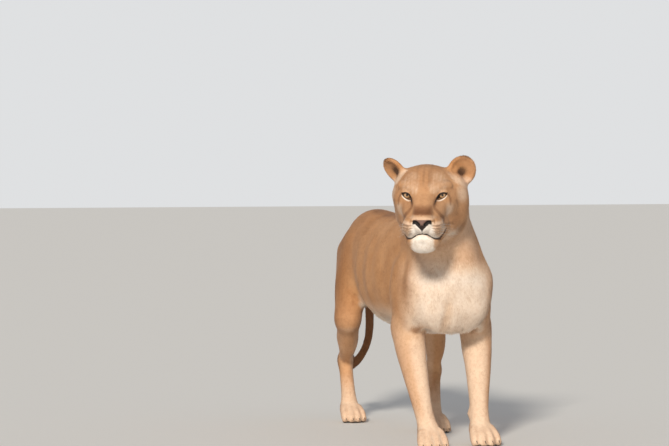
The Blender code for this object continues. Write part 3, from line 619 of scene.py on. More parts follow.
# ---------------------------------------------------------------- the lie of the coat
# The hair runs back from the nose, along the trunk and down the legs and the tail. Each line of it
# runs from root to tip: two ends, the radius of the flesh round it, and the part of the body.
LINES = [((0, -0.35, 0.72), (0, 0.62, 0.74), 0.20, "trunk"),
         ((-0.10, -0.57, 0.935), (0, -0.25, 0.80), 0.11, "neck"),
         ((-0.13, -0.68, 0.80), (-0.03, -0.53, 0.66), 0.06, "neck"),
         ((0, -0.52, 0.74), (0, -0.48, 0.48), 0.08, "chest"),
         ((0, -0.40, 0.47), (0, 0.25, 0.46), 0.04, "trunk")]
for name, out in (("left", 1), ("right", -1)):
    fore, hind = FORELEGS[name], HINDLEGS[name]
    for a, b, radius in (("blade", "shoulder", 0.07), ("shoulder", "elbow", 0.07), ("elbow", "forearm", 0.06),
                         ("forearm", "wrist", 0.045), ("wrist", "ball", 0.038)):
        LINES.append((fore[a], fore[b], radius, f"foreleg_{name}"))
    for a, b, radius in (("hip", "knee", 0.09), ("knee", "shin", 0.05), ("shin", "hock", 0.035),
                         ("hock", "ball", 0.034)):
        LINES.append((hind[a], hind[b], radius, f"hindleg_{name}"))
    seat = np.array(hind["hip"]) + [0, 0.10, -0.03]
    LINES.append((seat, between(seat, hind["shin"], 0.8), 0.06, f"hindleg_{name}"))
    for leg, wide, part in ((fore, FOREPAW_WIDE, f"foreleg_{name}"), (hind, HINDPAW_WIDE, f"hindleg_{name}")):
        ball = np.array(leg["ball"])
        LINES.append((ball, ball + [0, -wide, -0.030], wide * 0.42, part))
    muzzle, cheek = np.array([out * 0.030, 0.12, -0.085]), np.array([out * 0.085, -0.02, -0.075])
    LINES += [(from_head(muzzle), from_head(cheek), 0.035, "head"),
              (from_head(cheek), from_head((out * 0.110, -0.15, -0.105)), 0.05, "head"),
              (from_head((out * 0.02, 0.12, -0.160)), from_head((out * 0.055, -0.06, -0.165)), 0.030, "head")]
    place, opening, tip = (np.array(value) for value in EARS[name])
    tip = unit(tip)
    LINES.append((from_head(place - 0.03 * tip), from_head(place + 0.06 * tip), 0.020, f"ear_{name}"))
LINES += [(from_head((0, 0.14, -0.055)), from_head((0, -0.03, 0.035)), 0.030, "head"),
          (from_head((0, -0.03, 0.035)), from_head((0, -0.22, 0.070)), 0.060, "head")]
TAIL = [(0.000, 0.680, 0.800), (0.005, 0.775, 0.775), (0.030, 0.852, 0.670), (0.058, 0.862, 0.520),
        (0.066, 0.865, 0.400), (0.056, 0.870, 0.318), (0.026, 0.888, 0.252), (0.002, 0.934, 0.224),
        (0.010, 0.990, 0.228), (0.036, 1.062, 0.266)]
LINES += [(a, b, 0.022, "tail") for a, b in zip(TAIL, TAIL[1:])]
PARTS = sorted({line[3] for line in LINES})
DEEPEST, FALL_OFF = -0.02, 0.016    # how a line's pull fades with the distance from its flesh
HANG = 0.45                         # how far the hair hangs down on the sides


def lie_of(points, normals):
    """The way the hair lies at points of the skin, along it, and which part of the body each point is on."""
    weights, flow = np.zeros((len(PARTS), len(points))), np.zeros((len(points), 3))
    for a, b, radius, part in LINES:
        a, b = np.array(a, float), np.array(b, float)
        t = np.clip((points - a) @ (b - a) / ((b - a) @ (b - a)), 0, 1)
        apart = np.linalg.norm(points - a - np.outer(t, b - a), axis=1) - radius
        weight = np.exp(-np.maximum(apart, DEEPEST) / FALL_OFF)
        flow += weight[:, None] * unit(b - a)
        weights[PARTS.index(part)] = np.maximum(weights[PARTS.index(part)], weight)
    flow /= np.maximum(np.linalg.norm(flow, axis=1), 1e-9)[:, None]
    flow[:, 2] -= HANG * (1 - np.abs(normals[:, 2]))
    flow -= normals * (flow * normals).sum(1)[:, None]
    return flow / np.maximum(np.linalg.norm(flow, axis=1), 1e-6)[:, None], weights.argmax(0)


# ---------------------------------------------------------------- the coat's markings
# Golden tan over the back and sides, cream below, in front and inside the legs, white round the mouth;
# rust on the haunches and the ridge of the back, brown on the nose bridge, black lips, lids and ear marks.
# Painted shade widens the upper lids' black and darkens the mouth's corners, the breast's cleft and the
# tail's lower part.
def rise(value, low, high):
    """0 below low, 1 above high, and a smooth step between."""
    t = np.clip((value - low) / (high - low), 0, 1)
    return t * t * (3 - 2 * t)


def band(value, low, high, soft):
    """1 between low and high, fading over a width soft on either side."""
    return rise(value, low - soft, low + soft) * (1 - rise(value, high - soft, high + soft))


def waves(places, size, seed):
    """A smooth random field round 0, with waves about as long as size along each axis."""
    turns = np.random.default_rng(seed)
    total = np.zeros(len(places))
    for _ in range(6):
        total += np.sin(places / size @ turns.normal(0, 2.2, 3) + turns.uniform(0, 6.3))
    return total / 1.7


def spot(local, centre, size):
    """1 at a spot's middle, falling smoothly to 0 at its edge; its places are in the head's frame."""
    return 1 - rise(np.linalg.norm((local - centre) / size, axis=1), 0.35, 1.0)


def line_gap(local, line):
    """Distance to a line of points."""
    gap = np.full(len(local), np.inf)
    for a, b in zip(line, line[1:]):
        t = np.clip((local - a) @ (b - a) / ((b - a) @ (b - a)), 0, 1)
        gap = np.minimum(gap, np.linalg.norm(local - a - np.outer(t, b - a), axis=1))
    return gap


def stripe(local, line, half, soft):
    """1 within half of a line and 0 past half + soft."""
    return 1 - rise(line_gap(local, line), half, half + soft)


def on_face(line, steps=3):
    """A smooth line through points, each brought straight back onto the face from in front of it."""
    points = smooth_line(np.array(line, float), steps)
    points[:, 1] = 0.24
    for _ in range(60):
        gap = face_distance(points)
        for furrow, k in FURROWS:
            gap = carve(gap, furrow.distance(fold(points)), k)
        points[:, 1] -= 0.8 * gap
    return points


def lid_line(arc, offset):
    """An arc of the slit between the lids, moved up by offset and laid onto them."""
    return on_face([(EYE_PLACE[0] + s, EYE_PLACE[1] + 0.020, EYE_PLACE[2] + u + offset) for s, u in arc], 2)


ARC_STEPS = 8
LID_TAIL = (0.003, 0.001)        # how far the upper lid's black runs on past the outer corner
# The upper lid's black is raised over the lid: partly its own black rim, partly painted shade from the brow.
UPPER_LID_UP, PALE_LID_UP = 0.0026, -0.0038
almond = slit_outline(ARC_STEPS)
INNER_CORNER, OUTER_CORNER = almond[0], almond[ARC_STEPS]
UPPER_ARC = almond[:ARC_STEPS + 1] + [(OUTER_CORNER[0] + LID_TAIL[0], OUTER_CORNER[1] + LID_TAIL[1])]
LOWER_ARC = almond[ARC_STEPS:] + [INNER_CORNER]
UPPER_LID, LOWER_LID = lid_line(UPPER_ARC, UPPER_LID_UP), lid_line(LOWER_ARC, 0.0)
PALE_LID = lid_line(LOWER_ARC[1:], PALE_LID_UP)
TEAR = on_face([(0.0475, 0.016, -0.006), (0.0435, 0.022, -0.015), (0.042, 0.030, -0.026),
                (0.052, 0.035, -0.040), (0.066, 0.040, -0.058), (0.075, 0.055, -0.076),
                (0.079, 0.055, -0.094)])
TEAR_BLACK = TEAR[:6]            # its inner end is black
LIPS, CLEFT = on_face(GROOVES[0][0]), fold(on_face(GROOVES[1][0]))
WHISKER_ROWS = [on_face([(0.030, 0.150, u), (0.052, 0.130, u - 0.002), (0.074, 0.090, u - 0.001)])
                for u in (-0.084, -0.094, -0.105, -0.116)]
CHEEK_LINES = [  # how brown, and where
    (0.50, on_face([(0.088, -0.006, 0.008), (0.096, -0.015, -0.008), (0.098, -0.010, -0.030)])),
    (0.40, on_face([(0.118, -0.050, -0.024), (0.122, -0.040, -0.050), (0.112, -0.030, -0.082)])),
    (0.40, on_face([(0.070, 0.010, -0.085), (0.088, -0.020, -0.105), (0.104, -0.050, -0.112)])),
]
GRIZZLED_SPOTS = [  # pale hair on both sides of the forehead: how much, middle, half sizes
    (0.30, (0.066, 0.020, 0.030), (0.040, 0.05, 0.024)),        # over the eye
    (0.30, (0.036, 0.030, 0.036), (0.030, 0.05, 0.044)),        # inner end of the brow
    (0.26, (0.060, 0.000, 0.070), (0.060, 0.08, 0.060)),        # side of the forehead
]
PALE_SPOTS = [  # the same on the cheeks, where the hair isn't grizzled
    (0.40, (0.082, 0.010, -0.050), (0.040, 0.05, 0.040)),       # under the eye
    (0.75, (0.100, -0.060, -0.160), (0.040, 0.07, 0.030)),      # foot of the ruff
    (0.42, (0.130, -0.080, -0.010), (0.040, 0.07, 0.050)),      # temple
]
FORELEG_STAINS = [  # rusty stains over the forelegs: middle, half sizes
    ((-0.128, -0.40, 0.458), (0.034, 0.12, 0.028)),
    ((0.098, -0.42, 0.452), (0.045, 0.12, 0.016)),
]
# Height of the mouth's line and half width of the nose pad, each by a distance: from the middle, and down.
MOUTH_SIDE = [0, 0.030, 0.047, 0.062, 0.075, 0.090]
MOUTH_UP = [-0.118, -0.131, -0.142, -0.145, -0.135, -0.110]
PAD_DOWN = [0.060, 0.066, 0.074, 0.084, 0.094, 0.103]
PAD_HALF = [0.034, 0.035, 0.031, 0.019, 0.009, 0.003]
HEAD_MIDDLE = np.array([0, -0.03, -0.03])
BACK_MIDDLE = -0.02              # the ridge of the back lies this far to her right
BREAST_MIDDLE = -0.040           # and the cleft of the breast this far
EAR_HIDES = 0.8                  # how much the ears' own marks hide the pale coat


class SkinPlaces:
    """Points of the skin, with the places and slopes that the markings go by."""

    def __init__(self, points, normals):
        self.x, self.y, self.z = points.T
        self.local = to_head(points)
        self.folded = fold(self.local)
        self.s, self.f, self.u = self.folded.T
        self.up, self.ahead = normals[:, 2], -normals[:, 1]
        self.inwards = -normals[:, 0] * np.sign(self.x)
        self.head = 1 - rise(np.linalg.norm(self.local - HEAD_MIDDLE, axis=1), 0.17, 0.23)
        self.tail = rise(self.y, 0.72, 0.80)
        self.mouth = np.interp(self.s, MOUTH_SIDE, MOUTH_UP)
        self.muzzle = rise(self.f, 0.050, 0.085) * rise(-self.u, 0.066, 0.078)
        self.muzzle *= rise(self.u - self.mouth, -0.003, 0.001)


def strongest(*marks):
    """The strongest of several marks at each point."""
    return np.maximum.reduce(marks)


def body_pale(at):
    """Cream on the belly, the breast, the front of the neck and the inside of the legs."""
    belly = 0.85 * rise(-at.up, 0.35, 0.90) * rise(0.72 - at.z, 0, 0.22) * rise(at.z, 0.38, 0.44)
    front = rise(-at.y, 0.28, 0.46) * rise(at.ahead, -0.2, 0.5)
    breast = 0.78 * band(at.z, 0.43, 0.70, 0.050)
    breast *= (1 - rise(-at.x, 0.13, 0.24)) * (1 - rise(at.x, 0.10, 0.18))
    throat = 0.30 * rise(at.z, 0.62, 0.72) * (1 - rise(at.x, 0.05, 0.13))
    foreleg = 0.58 * rise(0.52 - at.z, 0, 0.16) * rise(-at.y, 0, 0.25)
    foreleg *= 0.35 + 0.65 * rise(at.inwards + 0.7 * at.ahead, -0.3, 0.7)
    hind = rise(at.y, 0, 0.15)
    inside = 0.42 * rise(at.inwards, 0, 0.9) * rise(0.56 - at.z, 0, 0.24) * (1 - 0.4 * hind)
    lower_leg = 0.24 * rise(0.58 - at.z, 0, 0.16) * (1 - 0.7 * hind)
    foot = 0.50 * rise(0.26 - at.z, 0, 0.18)
    pale = strongest(belly, front * (breast + throat), foreleg, inside, lower_leg, foot)
    return pale * (1 - at.head) * (1 - at.tail)


def face_pale(at):
    """White on the muzzle, the chin and under the eyes, and pale patches round them."""
    throat = 0.45 * at.head * rise(-at.u, 0.11, 0.17) * rise(0.05 - at.f, 0, 0.06)
    muzzle = at.muzzle * (0.42 + 0.58 * (1 - rise(at.s + 0.35 * (at.u + 0.10), 0.034, 0.054)))
    over_nose = 0.30 * rise(at.f, 0.10, 0.13) * band(-at.u, 0.049, 0.062, 0.003)
    chin = rise(at.f, 0.02, 0.06) * rise(at.mouth - at.u, 0.001, 0.004) * (1 - rise(at.s, 0.034, 0.050))
    under_lid = 0.85 * stripe(at.folded, PALE_LID, 0.0014, 0.0026) * rise(at.f, -0.03, -0.01)
    grizzle = 0.75 + 0.14 * waves(at.local, (0.006, 0.030, 0.012), 32)
    spots = [much * grizzle * spot(at.folded, middle, half) for much, middle, half in GRIZZLED_SPOTS]
    spots += [much * spot(at.folded, middle, half) for much, middle, half in PALE_SPOTS]
    return strongest(0.06 * at.head, throat, muzzle, over_nose, chin, under_lid, *spots)


def body_rust(at):
    """Rust on the haunches and along the ridge of the back."""
    haunch = 0.50 * rise(at.y, 0.15, 0.62) * rise(at.z, 0.34, 0.52)
    ridge = 0.50 * rise(at.up, 0.70, 0.98) * rise(at.z, 0.80, 0.88)
    ridge *= 1 - rise(np.abs(at.x - BACK_MIDDLE), 0.02, 0.09)
    return strongest(haunch, ridge) * (1 - at.head)


def face_rust(at):
    """A little rust all over the head, most of all on the nose bridge."""
    bridge = (1 - rise(at.s, 0.026, 0.050)) * rise(-at.u, 0.004, 0.030) * (1 - rise(-at.u, 0.043, 0.052))
    beside_muzzle = 0.30 * at.muzzle * rise(at.s, 0.044, 0.062)
    beside_nose = 0.30 * band(-at.u, 0.040, 0.075, 0.008) * band(at.s, 0.036, 0.058, 0.008)
    return strongest(0.30 * at.head, bridge * rise(at.f, 0.00, 0.03), beside_muzzle,
                     beside_nose * rise(at.f, 0.03, 0.06))


def body_brown(at):
    """Brown on the tail and faintly along the ridge of the back; the brown down the tail's lower part is
    painted shade, for the body's shadow over it.
    """
    # Painted shade: the tail turns brown low down, under the body, where the body shades it; the tuft's brown
    # is its own.
    tail = 0.75 * at.tail * rise(0.66 - at.z, 0.0, 0.20)
    tuft = 0.85 * at.tail * rise(at.y, 0.88, 0.96) * rise(0.34 - at.z, 0, 0.08)
    ridge = 0.30 * rise(at.z, 0.80, 0.88) * rise(at.up, 0.80, 1.0) * (1 - at.head)
    return strongest(tail, tuft, ridge * (1 - rise(np.abs(at.x - BACK_MIDDLE), 0.01, 0.05)))


def face_brown(at):
    """Brown on the nose bridge, the forehead's streaks, whisker rows, tear lines and cheek folds."""
    bridge = 0.78 * (1 - rise(at.s, 0.018, 0.046))
    bridge *= rise(-at.u, 0.012, 0.040) * (1 - rise(-at.u, 0.041, 0.050)) * rise(at.f, 0.00, 0.03)
    streaks = rise(waves(at.local, (0.008, 0.12, 0.09), 31), 0.1, 1.3)
    from_crown, from_parting = np.abs(at.local[:, 0] + 0.002), np.abs(at.local[:, 0] + 0.003)
    crown = 0.30 * streaks * (1 - rise(from_crown, 0.012, 0.040)) * rise(at.u, 0.030, 0.055)
    parting = 0.26 * (1 - rise(from_parting, 0.001, 0.007)) * band(at.u, 0.045, 0.090, 0.015)
    tear = 0.62 * stripe(at.folded, TEAR, 0.0032, 0.0090)
    beside_nose = 0.22 * band(at.s, 0.040, 0.060, 0.008) * band(-at.u, 0.015, 0.062, 0.012)
    beside_nose *= rise(at.f, 0.00, 0.04)
    lips = 0.65 * stripe(at.folded, LIPS, 0.0025, 0.0040) * rise(at.s, 0.040, 0.054)
    rows = [0.62 * stripe(at.folded, row, 0.0020, 0.0026) * rise(at.s, 0.030, 0.046)
            for row in WHISKER_ROWS]
    cheeks = [much * stripe(at.folded, line, 0.0015, 0.0075) for much, line in CHEEK_LINES]
    return strongest(bridge, crown * at.head, parting * at.head, tear, beside_nose, lips, *rows, *cheeks)


def face_black(at):
    """Black lids, inner tear lines, lips and the cleft over them, with painted shade in the upper lids' broad
    black and in the mouth's corners.
    """
    lids = rise(at.f, -0.035, -0.015)
    # Painted shade: the upper lid's black band is the lid's own black rim, raised and widened over the shade
    # the brow casts on the lid.
    upper = stripe(at.folded, UPPER_LID, 0.0022, 0.0018) * lids * (1 - rise(at.s, 0.0845, 0.0900))
    lower = stripe(at.folded, LOWER_LID, 0.0009, 0.0012) * lids
    tear = 0.95 * stripe(at.folded, TEAR_BLACK, 0.0014, 0.0026) * (1 - rise(-at.u, 0.010, 0.027))
    lips = stripe(at.folded, LIPS, 0.0016, 0.0018) * (1 - 0.55 * rise(at.s, 0.052, 0.066))
    cleft = 0.95 * stripe(at.folded, CLEFT, 0.0006, 0.0010)
    # Painted shadow: the mouth's corners are black partly for the lips' own black and partly for the shadow
    # that falls beyond the chin.
    lip_corner_and_shadow = 0.70 * spot(at.folded, (0.056, 0.090, -0.150), (0.014, 0.03, 0.012))
    return strongest(upper, lower, tear, lips, cleft, lip_corner_and_shadow)


def nose_marks(at):
    """Black of the nose pad, and where it is bare skin."""
    edge = np.interp(-at.u, PAD_DOWN, PAD_HALF) - at.s
    pad = rise(at.f, 0.128, 0.134) * rise(edge, -0.0006, 0.0012) * band(-at.u, 0.0605, 0.1035, 0.0010)
    rim = 0.8 * pad * (1 - rise(edge, 0.003, 0.007)) * rise(-at.u, 0.070, 0.078)
    nostril = (1 - rise(FURROWS[2][0].distance(at.folded), 0.000, 0.0022)) * (1 - rise(at.s, 0.034, 0.038))
    wedge = 0.9 * pad * rise(-at.u, 0.074, 0.084)
    return strongest(rim, nostril, wedge), pad * (1 - 0.4 * nostril)


def mark_ear(at, name, pale, rust, brown, black):
    """The marks with one ear's own: a dark cup with a pale edge, a dark rim and a black back."""
    place, opening, tip = (np.array(value) for value in EARS[name])
    opening, tip = unit(opening), unit(tip)
    away = at.local - place
    outwards, along = away @ opening, away @ tip
    near = 1 - rise(np.linalg.norm(away, axis=1), 0.070, 0.085)
    inside = near * rise(outwards, -0.010, 0.000) * (1 - rise(np.linalg.norm(away, axis=1), 0.040, 0.058))
    hole = 1 - rise(np.linalg.norm((away + 0.004 * tip) / 0.030, axis=1), 0.25, 1.0)
    edge = 0.50 * near * rise(outwards, -0.012, 0.0) * (1 - rise(along, -0.035, -0.005)) * (1 - hole)
    back = 0.85 * near * rise(-outwards, 0.006, 0.014) * band(along, -0.005, 0.040, 0.012)
    rim = 0.65 * near * rise(along, 0.046, 0.056)
    pale = strongest(pale * (1 - EAR_HIDES * near), edge)
    rust = strongest(rust * (1 - near), 0.12 * near)
    brown = strongest(brown, 0.70 * inside * hole, rim)
    black = strongest(black, 0.75 * inside * rise(hole, 0.45, 1.0), back)
    return pale, rust, brown, black


def marks_of(points, normals):
    """Pale, rust, brown, black and bare at points of the skin, each from 0 to 1."""
    at = SkinPlaces(points, normals)
    pale, rust = strongest(body_pale(at), face_pale(at)), strongest(body_rust(at), face_rust(at))
    for middle, half in FORELEG_STAINS:
        stain = 1 - rise(np.linalg.norm((points - middle) / half, axis=1), 0.3, 1.0)
        rust, pale = strongest(rust, 0.9 * stain), pale * (1 - 0.8 * stain)
    # Painted shade: the breast is made less pale along its cleft, for the shade in the groove.
    cleft = (1 - rise(np.abs(at.x - BREAST_MIDDLE), 0.004, 0.030)) * band(at.z, 0.45, 0.58, 0.04)
    pale = pale * (1 - 0.22 * cleft * rise(-at.y, 0.38, 0.46))
    brown = strongest(body_brown(at), face_brown(at))
    nose_black, nose_bare = nose_marks(at)
    black = strongest(face_black(at), nose_black)
    for name in EARS:
        pale, rust, brown, black = mark_ear(at, name, pale, rust, brown, black)
    pads = rise(0.010 - at.z, 0, 0.004) * rise(-at.up, 0.6, 0.9)
    black = strongest(black, 0.75 * at.tail * rise(at.y, 0.93, 1.02) * rise(0.34 - at.z, 0, 0.05), 0.9 * pads)
    bare_edges = 0.55 * rise(black, 0.80, 0.97) * rise(at.f, -0.035, -0.015) * at.head
    bare = strongest(nose_bare, bare_edges, pads)
    return np.clip(np.array([pale, rust, brown, black, bare]), 0, 1)


# ---------------------------------------------------------------- the skin under the coat
# It lies inside the flesh's outline by the depth of the coat, which is deepest on the chest, the chin and
# the tail's tuft and nothing on the nose, the lips and the lids.
MOST_DEPTH = 0.0045                # of the coat over the skin
SHORT_HAIR, SHORT_LIFT = 0.0135, 0.13  # on the back and sides: its length, and its angle to the skin
LIP_HAIR, LID_HAIR = 0.35, 0.30    # share of its length that hair has right beside the lips and the lids
CREASE_LIFT = 0.30                 # more lift for the hair in the creases under the jaw
CLEFT_DEEP, FOLD_DEEP = 0.0075, 0.0022  # of the cleft down the breast, and of the loose skin's folds


def hair_of(points, normals, marks):
    """Length and lift of the hair, and the depth of the coat, at points of the skin."""
    local = to_head(points)
    s, f, u = np.abs(local[:, 0]), local[:, 1], local[:, 2]
    x, y, z = points.T
    bare = marks[4]
    head = 1 - rise(np.linalg.norm(local - HEAD_MIDDLE, axis=1), 0.15, 0.22)
    length = SHORT_HAIR - 0.003 * rise(0.45 - z, 0, 0.08) - 0.0025 * rise(0.14 - z, 0, 0.05)
    lift = np.full(len(points), SHORT_LIFT)
    chest = rise(-y, 0.34, 0.46) * rise(0.84 - z, 0, 0.12) * rise(z, 0.42, 0.47) * (1 - head)
    chest *= 1 - rise(np.abs(x), 0.12, 0.18)
    under = rise(-normals[:, 2], 0.2, 0.8) * rise(z, 0.36, 0.42) * rise(0.58 - z, 0, 0.08)
    under *= rise(0.50 - y, 0, 0.1) * (1 - rise(np.abs(x), 0.05, 0.13))
    tuft = rise(y, 0.90, 0.97) * rise(0.34 - z, 0, 0.05)
    backwards = rise(normals[:, 1], 0.3, 0.9)
    breech = backwards * band(z, 0.34, 0.62, 0.05) * rise(y, 0.30, 0.40) * rise(0.78 - y, 0, 0.04)
    elbow = backwards * band(z, 0.36, 0.50, 0.03) * rise(-y, 0.20, 0.30)
    face = head * rise(f, -0.14, 0.02)
    ruff = head * rise(s, 0.075, 0.110) * rise(0.02 - f, 0, 0.05) * rise(-u, 0.02, 0.10)
    chin = head * rise(f, 0.02, 0.06) * rise(-u, 0.150, 0.175)
    throat = head * rise(-u, 0.13, 0.19) * (1 - chin)
    ears = sum(1 - rise(np.linalg.norm(local - EARS[name][0], axis=1), 0.06, 0.09) for name in EARS)
    for amount, long, steep in (
            (chest, 0.022, 0.10), (under, 0.030, 0.30), (tuft, 0.042, 0.30), (breech, 0.022, 0.20),
            (elbow, 0.020, 0.22), (face, 0.0055, 0.12), (throat, 0.018, 0.14), (ruff, 0.019, 0.15),
            (chin, 0.018, 0.30), (ears, 0.0080, 0.20)):
        length = length * (1 - amount) + long * amount
        lift = lift * (1 - amount) + steep * amount
    creases = np.minimum(JAW_CREASES[0].distance(local), JAW_CREASES[1].distance(local))
    lift += CREASE_LIFT * (1 - rise(creases, -0.002, 0.014))
    length *= 1 - rise(bare, 0.2, 0.6)
    lips = np.minimum(line_gap(fold(local), LIPS), line_gap(fold(local), CLEFT))
    length *= LIP_HAIR + (1 - LIP_HAIR) * rise(lips, 0.003, 0.016)
    lids = np.minimum(line_gap(fold(local), UPPER_LID), line_gap(fold(local), LOWER_LID))
    length *= LID_HAIR + (1 - LID_HAIR) * rise(lids, 0.002, 0.022)
    return length, lift, np.minimum(length * np.sin(lift), MOST_DEPTH)


def read_corners(mesh):
    """The places and normals of a mesh's corners."""
    flat = np.empty(len(mesh.vertices) * 3, np.float32)
    mesh.vertices.foreach_get("co", flat)
    points = flat.reshape(-1, 3).astype(float)
    flat = np.empty(len(mesh.vertices) * 3, np.float32)
    mesh.vertex_normals.foreach_get("vector", flat)
    return points, flat.reshape(-1, 3).astype(float)


def fold_depth(points):
    """Loose skin: broad soft folds down the flank and across the throat, and a cleft down the breast."""
    x, y, z = points.T
    flank = band(z, 0.50, 0.78, 0.08) * band(y, -0.22, 0.40, 0.10)
    folds = FOLD_DEEP * flank * waves(points, (0.50, 0.16, 0.60), 3)
    throat = band(y, -0.62, -0.46, 0.05) * rise(0.92 - z, 0, 0.1) * rise(z, 0.60, 0.68)
    folds += FOLD_DEEP * throat * waves(points, (0.20, 0.10, 0.12), 4)
    cleft = (1 - rise(np.abs(x - BREAST_MIDDLE), 0.002, 0.040)) * band(z, 0.46, 0.58, 0.05)
    return folds + CLEFT_DEEP * cleft * rise(-y, 0.38, 0.46)


points, normals = read_corners(skin.data)
marks = marks_of(points, normals)
length, lift, depth = hair_of(points, normals, marks)
lie, part_of = lie_of(points, normals)
points = points - normals * (depth + fold_depth(points))[:, None]
points[:, 2] = np.maximum(points[:, 2], 0.0)        # the soles are flat on the floor
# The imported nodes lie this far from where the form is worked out.
SHIFT = np.array(sum(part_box("eye_left"), Vector()) / 2) - from_head(EYE_PLACE)
skin.data.vertices.foreach_set("co", (points + SHIFT).astype(np.float32).ravel())
skin.data.shade_smooth()


def write_marks(mesh, marks):
    """Stores the markings: pale, rust, brown and black as one colour, bare by itself."""
    colour = mesh.attributes.new("marks", "FLOAT_COLOR", "POINT")
    colour.data.foreach_set("color", marks[:4].T.astype(np.float32).ravel())
    bare = mesh.attributes.new("bare", "FLOAT", "POINT")
    bare.data.foreach_set("value", marks[4].astype(np.float32))


write_marks(skin.data, marks)


# ---------------------------------------------------------------- the colours of the coat
# Skin and coat share one shader group, which turns the markings into colours and mottles them.
TAN, LIGHT_TAN = (0.60, 0.300, 0.125, 1), (0.67, 0.370, 0.180, 1)
CREAM, WHITE = (0.87, 0.67, 0.50, 1), (0.96, 0.88, 0.79, 1)
RUST, BROWN, BLACK = (0.36, 0.150, 0.055, 1), (0.16, 0.062, 0.025, 1), (0.012, 0.009, 0.008, 1)
NOSE_PINK, DARK_SKIN = (0.20, 0.110, 0.085, 1), (0.014, 0.010, 0.009, 1)
# The hair's darkening is partly each tuft's own tone and partly painted shade at the tufts' roots, where
# other hair covers them.
MOTTLE, HAIR_TONE_AND_ROOT_SHADE = (0.86, 0.80, 0.74, 1), (0.74, 0.65, 0.57, 1)     # both darken what they lie over


def coat_group():
    """Shader group: the coat's colour from its marks, with the mottling of single hairs."""
    group = bpy.data.node_groups.new("lioness_coat", "ShaderNodeTree")
    for name, kind in (("Marks", "NodeSocketColor"), ("Black", "NodeSocketFloat"),
                       ("Bare", "NodeSocketFloat"), ("Hair", "NodeSocketFloat")):
        group.interface.new_socket(name, in_out="INPUT", socket_type=kind)
    for name, kind in (("Colour", "NodeSocketColor"), ("Streaks", "NodeSocketFloat")):
        group.interface.new_socket(name, in_out="OUTPUT", socket_type=kind)
    nodes, wires = group.nodes, group.links
    given, result = nodes.new("NodeGroupInput"), nodes.new("NodeGroupOutput")
    place = nodes.new("ShaderNodeTexCoord")
    split = nodes.new("ShaderNodeSeparateColor")
    wires.new(given.outputs["Marks"], split.inputs[0])

    def noise(scale, detail, stretch=(1, 1, 1)):
        turned = nodes.new("ShaderNodeMapping")
        turned.inputs["Scale"].default_value = stretch
        wires.new(place.outputs["Object"], turned.inputs["Vector"])
        made = nodes.new("ShaderNodeTexNoise")
        made.inputs["Scale"].default_value, made.inputs["Detail"].default_value = scale, detail
        wires.new(turned.outputs[0], made.inputs["Vector"])
        return made.outputs["Fac"]

    def mixed(a, b, amount, way="MIX", low=0.0, high=1.0):
        mix = nodes.new("ShaderNodeMix")
        mix.data_type, mix.blend_type = "RGBA", way
        for value, socket in ((a, mix.inputs["A"]), (b, mix.inputs["B"])):
            if isinstance(value, tuple):
                socket.default_value = value
            else:
                wires.new(value, socket)
        span = nodes.new("ShaderNodeMapRange")
        span.inputs["From Min"].default_value, span.inputs["From Max"].default_value = low, high
        wires.new(amount, span.inputs["Value"])
        wires.new(span.outputs[0], mix.inputs["Factor"])
        return mix.outputs["Result"]

    patches, mottle, hairs = noise(7, 3), noise(90, 4), noise(420, 2, (1, 0.35, 0.5))
    colour = mixed(TAN, LIGHT_TAN, patches, low=0.35, high=0.75)
    colour = mixed(colour, RUST, split.outputs[1])
    colour = mixed(colour, CREAM, split.outputs[0], high=0.60)
    colour = mixed(colour, WHITE, split.outputs[0], low=0.60, high=1.0)
    colour = mixed(colour, BROWN, split.outputs[2])
    dark = mixed(colour, MOTTLE, mottle, "MULTIPLY", 0.45, 0.85)
    dark = mixed(dark, HAIR_TONE_AND_ROOT_SHADE, given.outputs["Hair"], "MULTIPLY", 0.35, 1.05)
    colour = mixed(dark, BLACK, given.outputs["Black"])
    skin_colour = mixed(NOSE_PINK, DARK_SKIN, given.outputs["Black"])
    colour = mixed(colour, skin_colour, given.outputs["Bare"])
    wires.new(colour, result.inputs["Colour"])
    wires.new(hairs, result.inputs["Streaks"])
    return group


COAT = coat_group()


def coat_material(name, hair_attribute):
    """Fur: rough, with a little sheen; hair_attribute gives each tuft its own tone, with painted shade at its
    root.
    """
    material = bpy.data.materials.new(name)
    material.use_nodes = True
    nodes, wires = material.node_tree.nodes, material.node_tree.links
    shader = nodes["Principled BSDF"]
    coat = nodes.new("ShaderNodeGroup")
    coat.node_tree = COAT
    marks = nodes.new("ShaderNodeAttribute")
    marks.attribute_name = "marks"
    wires.new(marks.outputs["Color"], coat.inputs["Marks"])
    wires.new(marks.outputs["Alpha"], coat.inputs["Black"])
    bare = nodes.new("ShaderNodeAttribute")
    bare.attribute_name = "bare"
    wires.new(bare.outputs["Fac"], coat.inputs["Bare"])
    if hair_attribute:
        hair = nodes.new("ShaderNodeAttribute")
        hair.attribute_name = hair_attribute
        wires.new(hair.outputs["Fac"], coat.inputs["Hair"])
    wires.new(coat.outputs["Colour"], shader.inputs["Base Color"])
    shader.inputs["Roughness"].default_value = 0.75
    shader.inputs["Specular IOR Level"].default_value = 0.25
    return material, shader, coat, bare


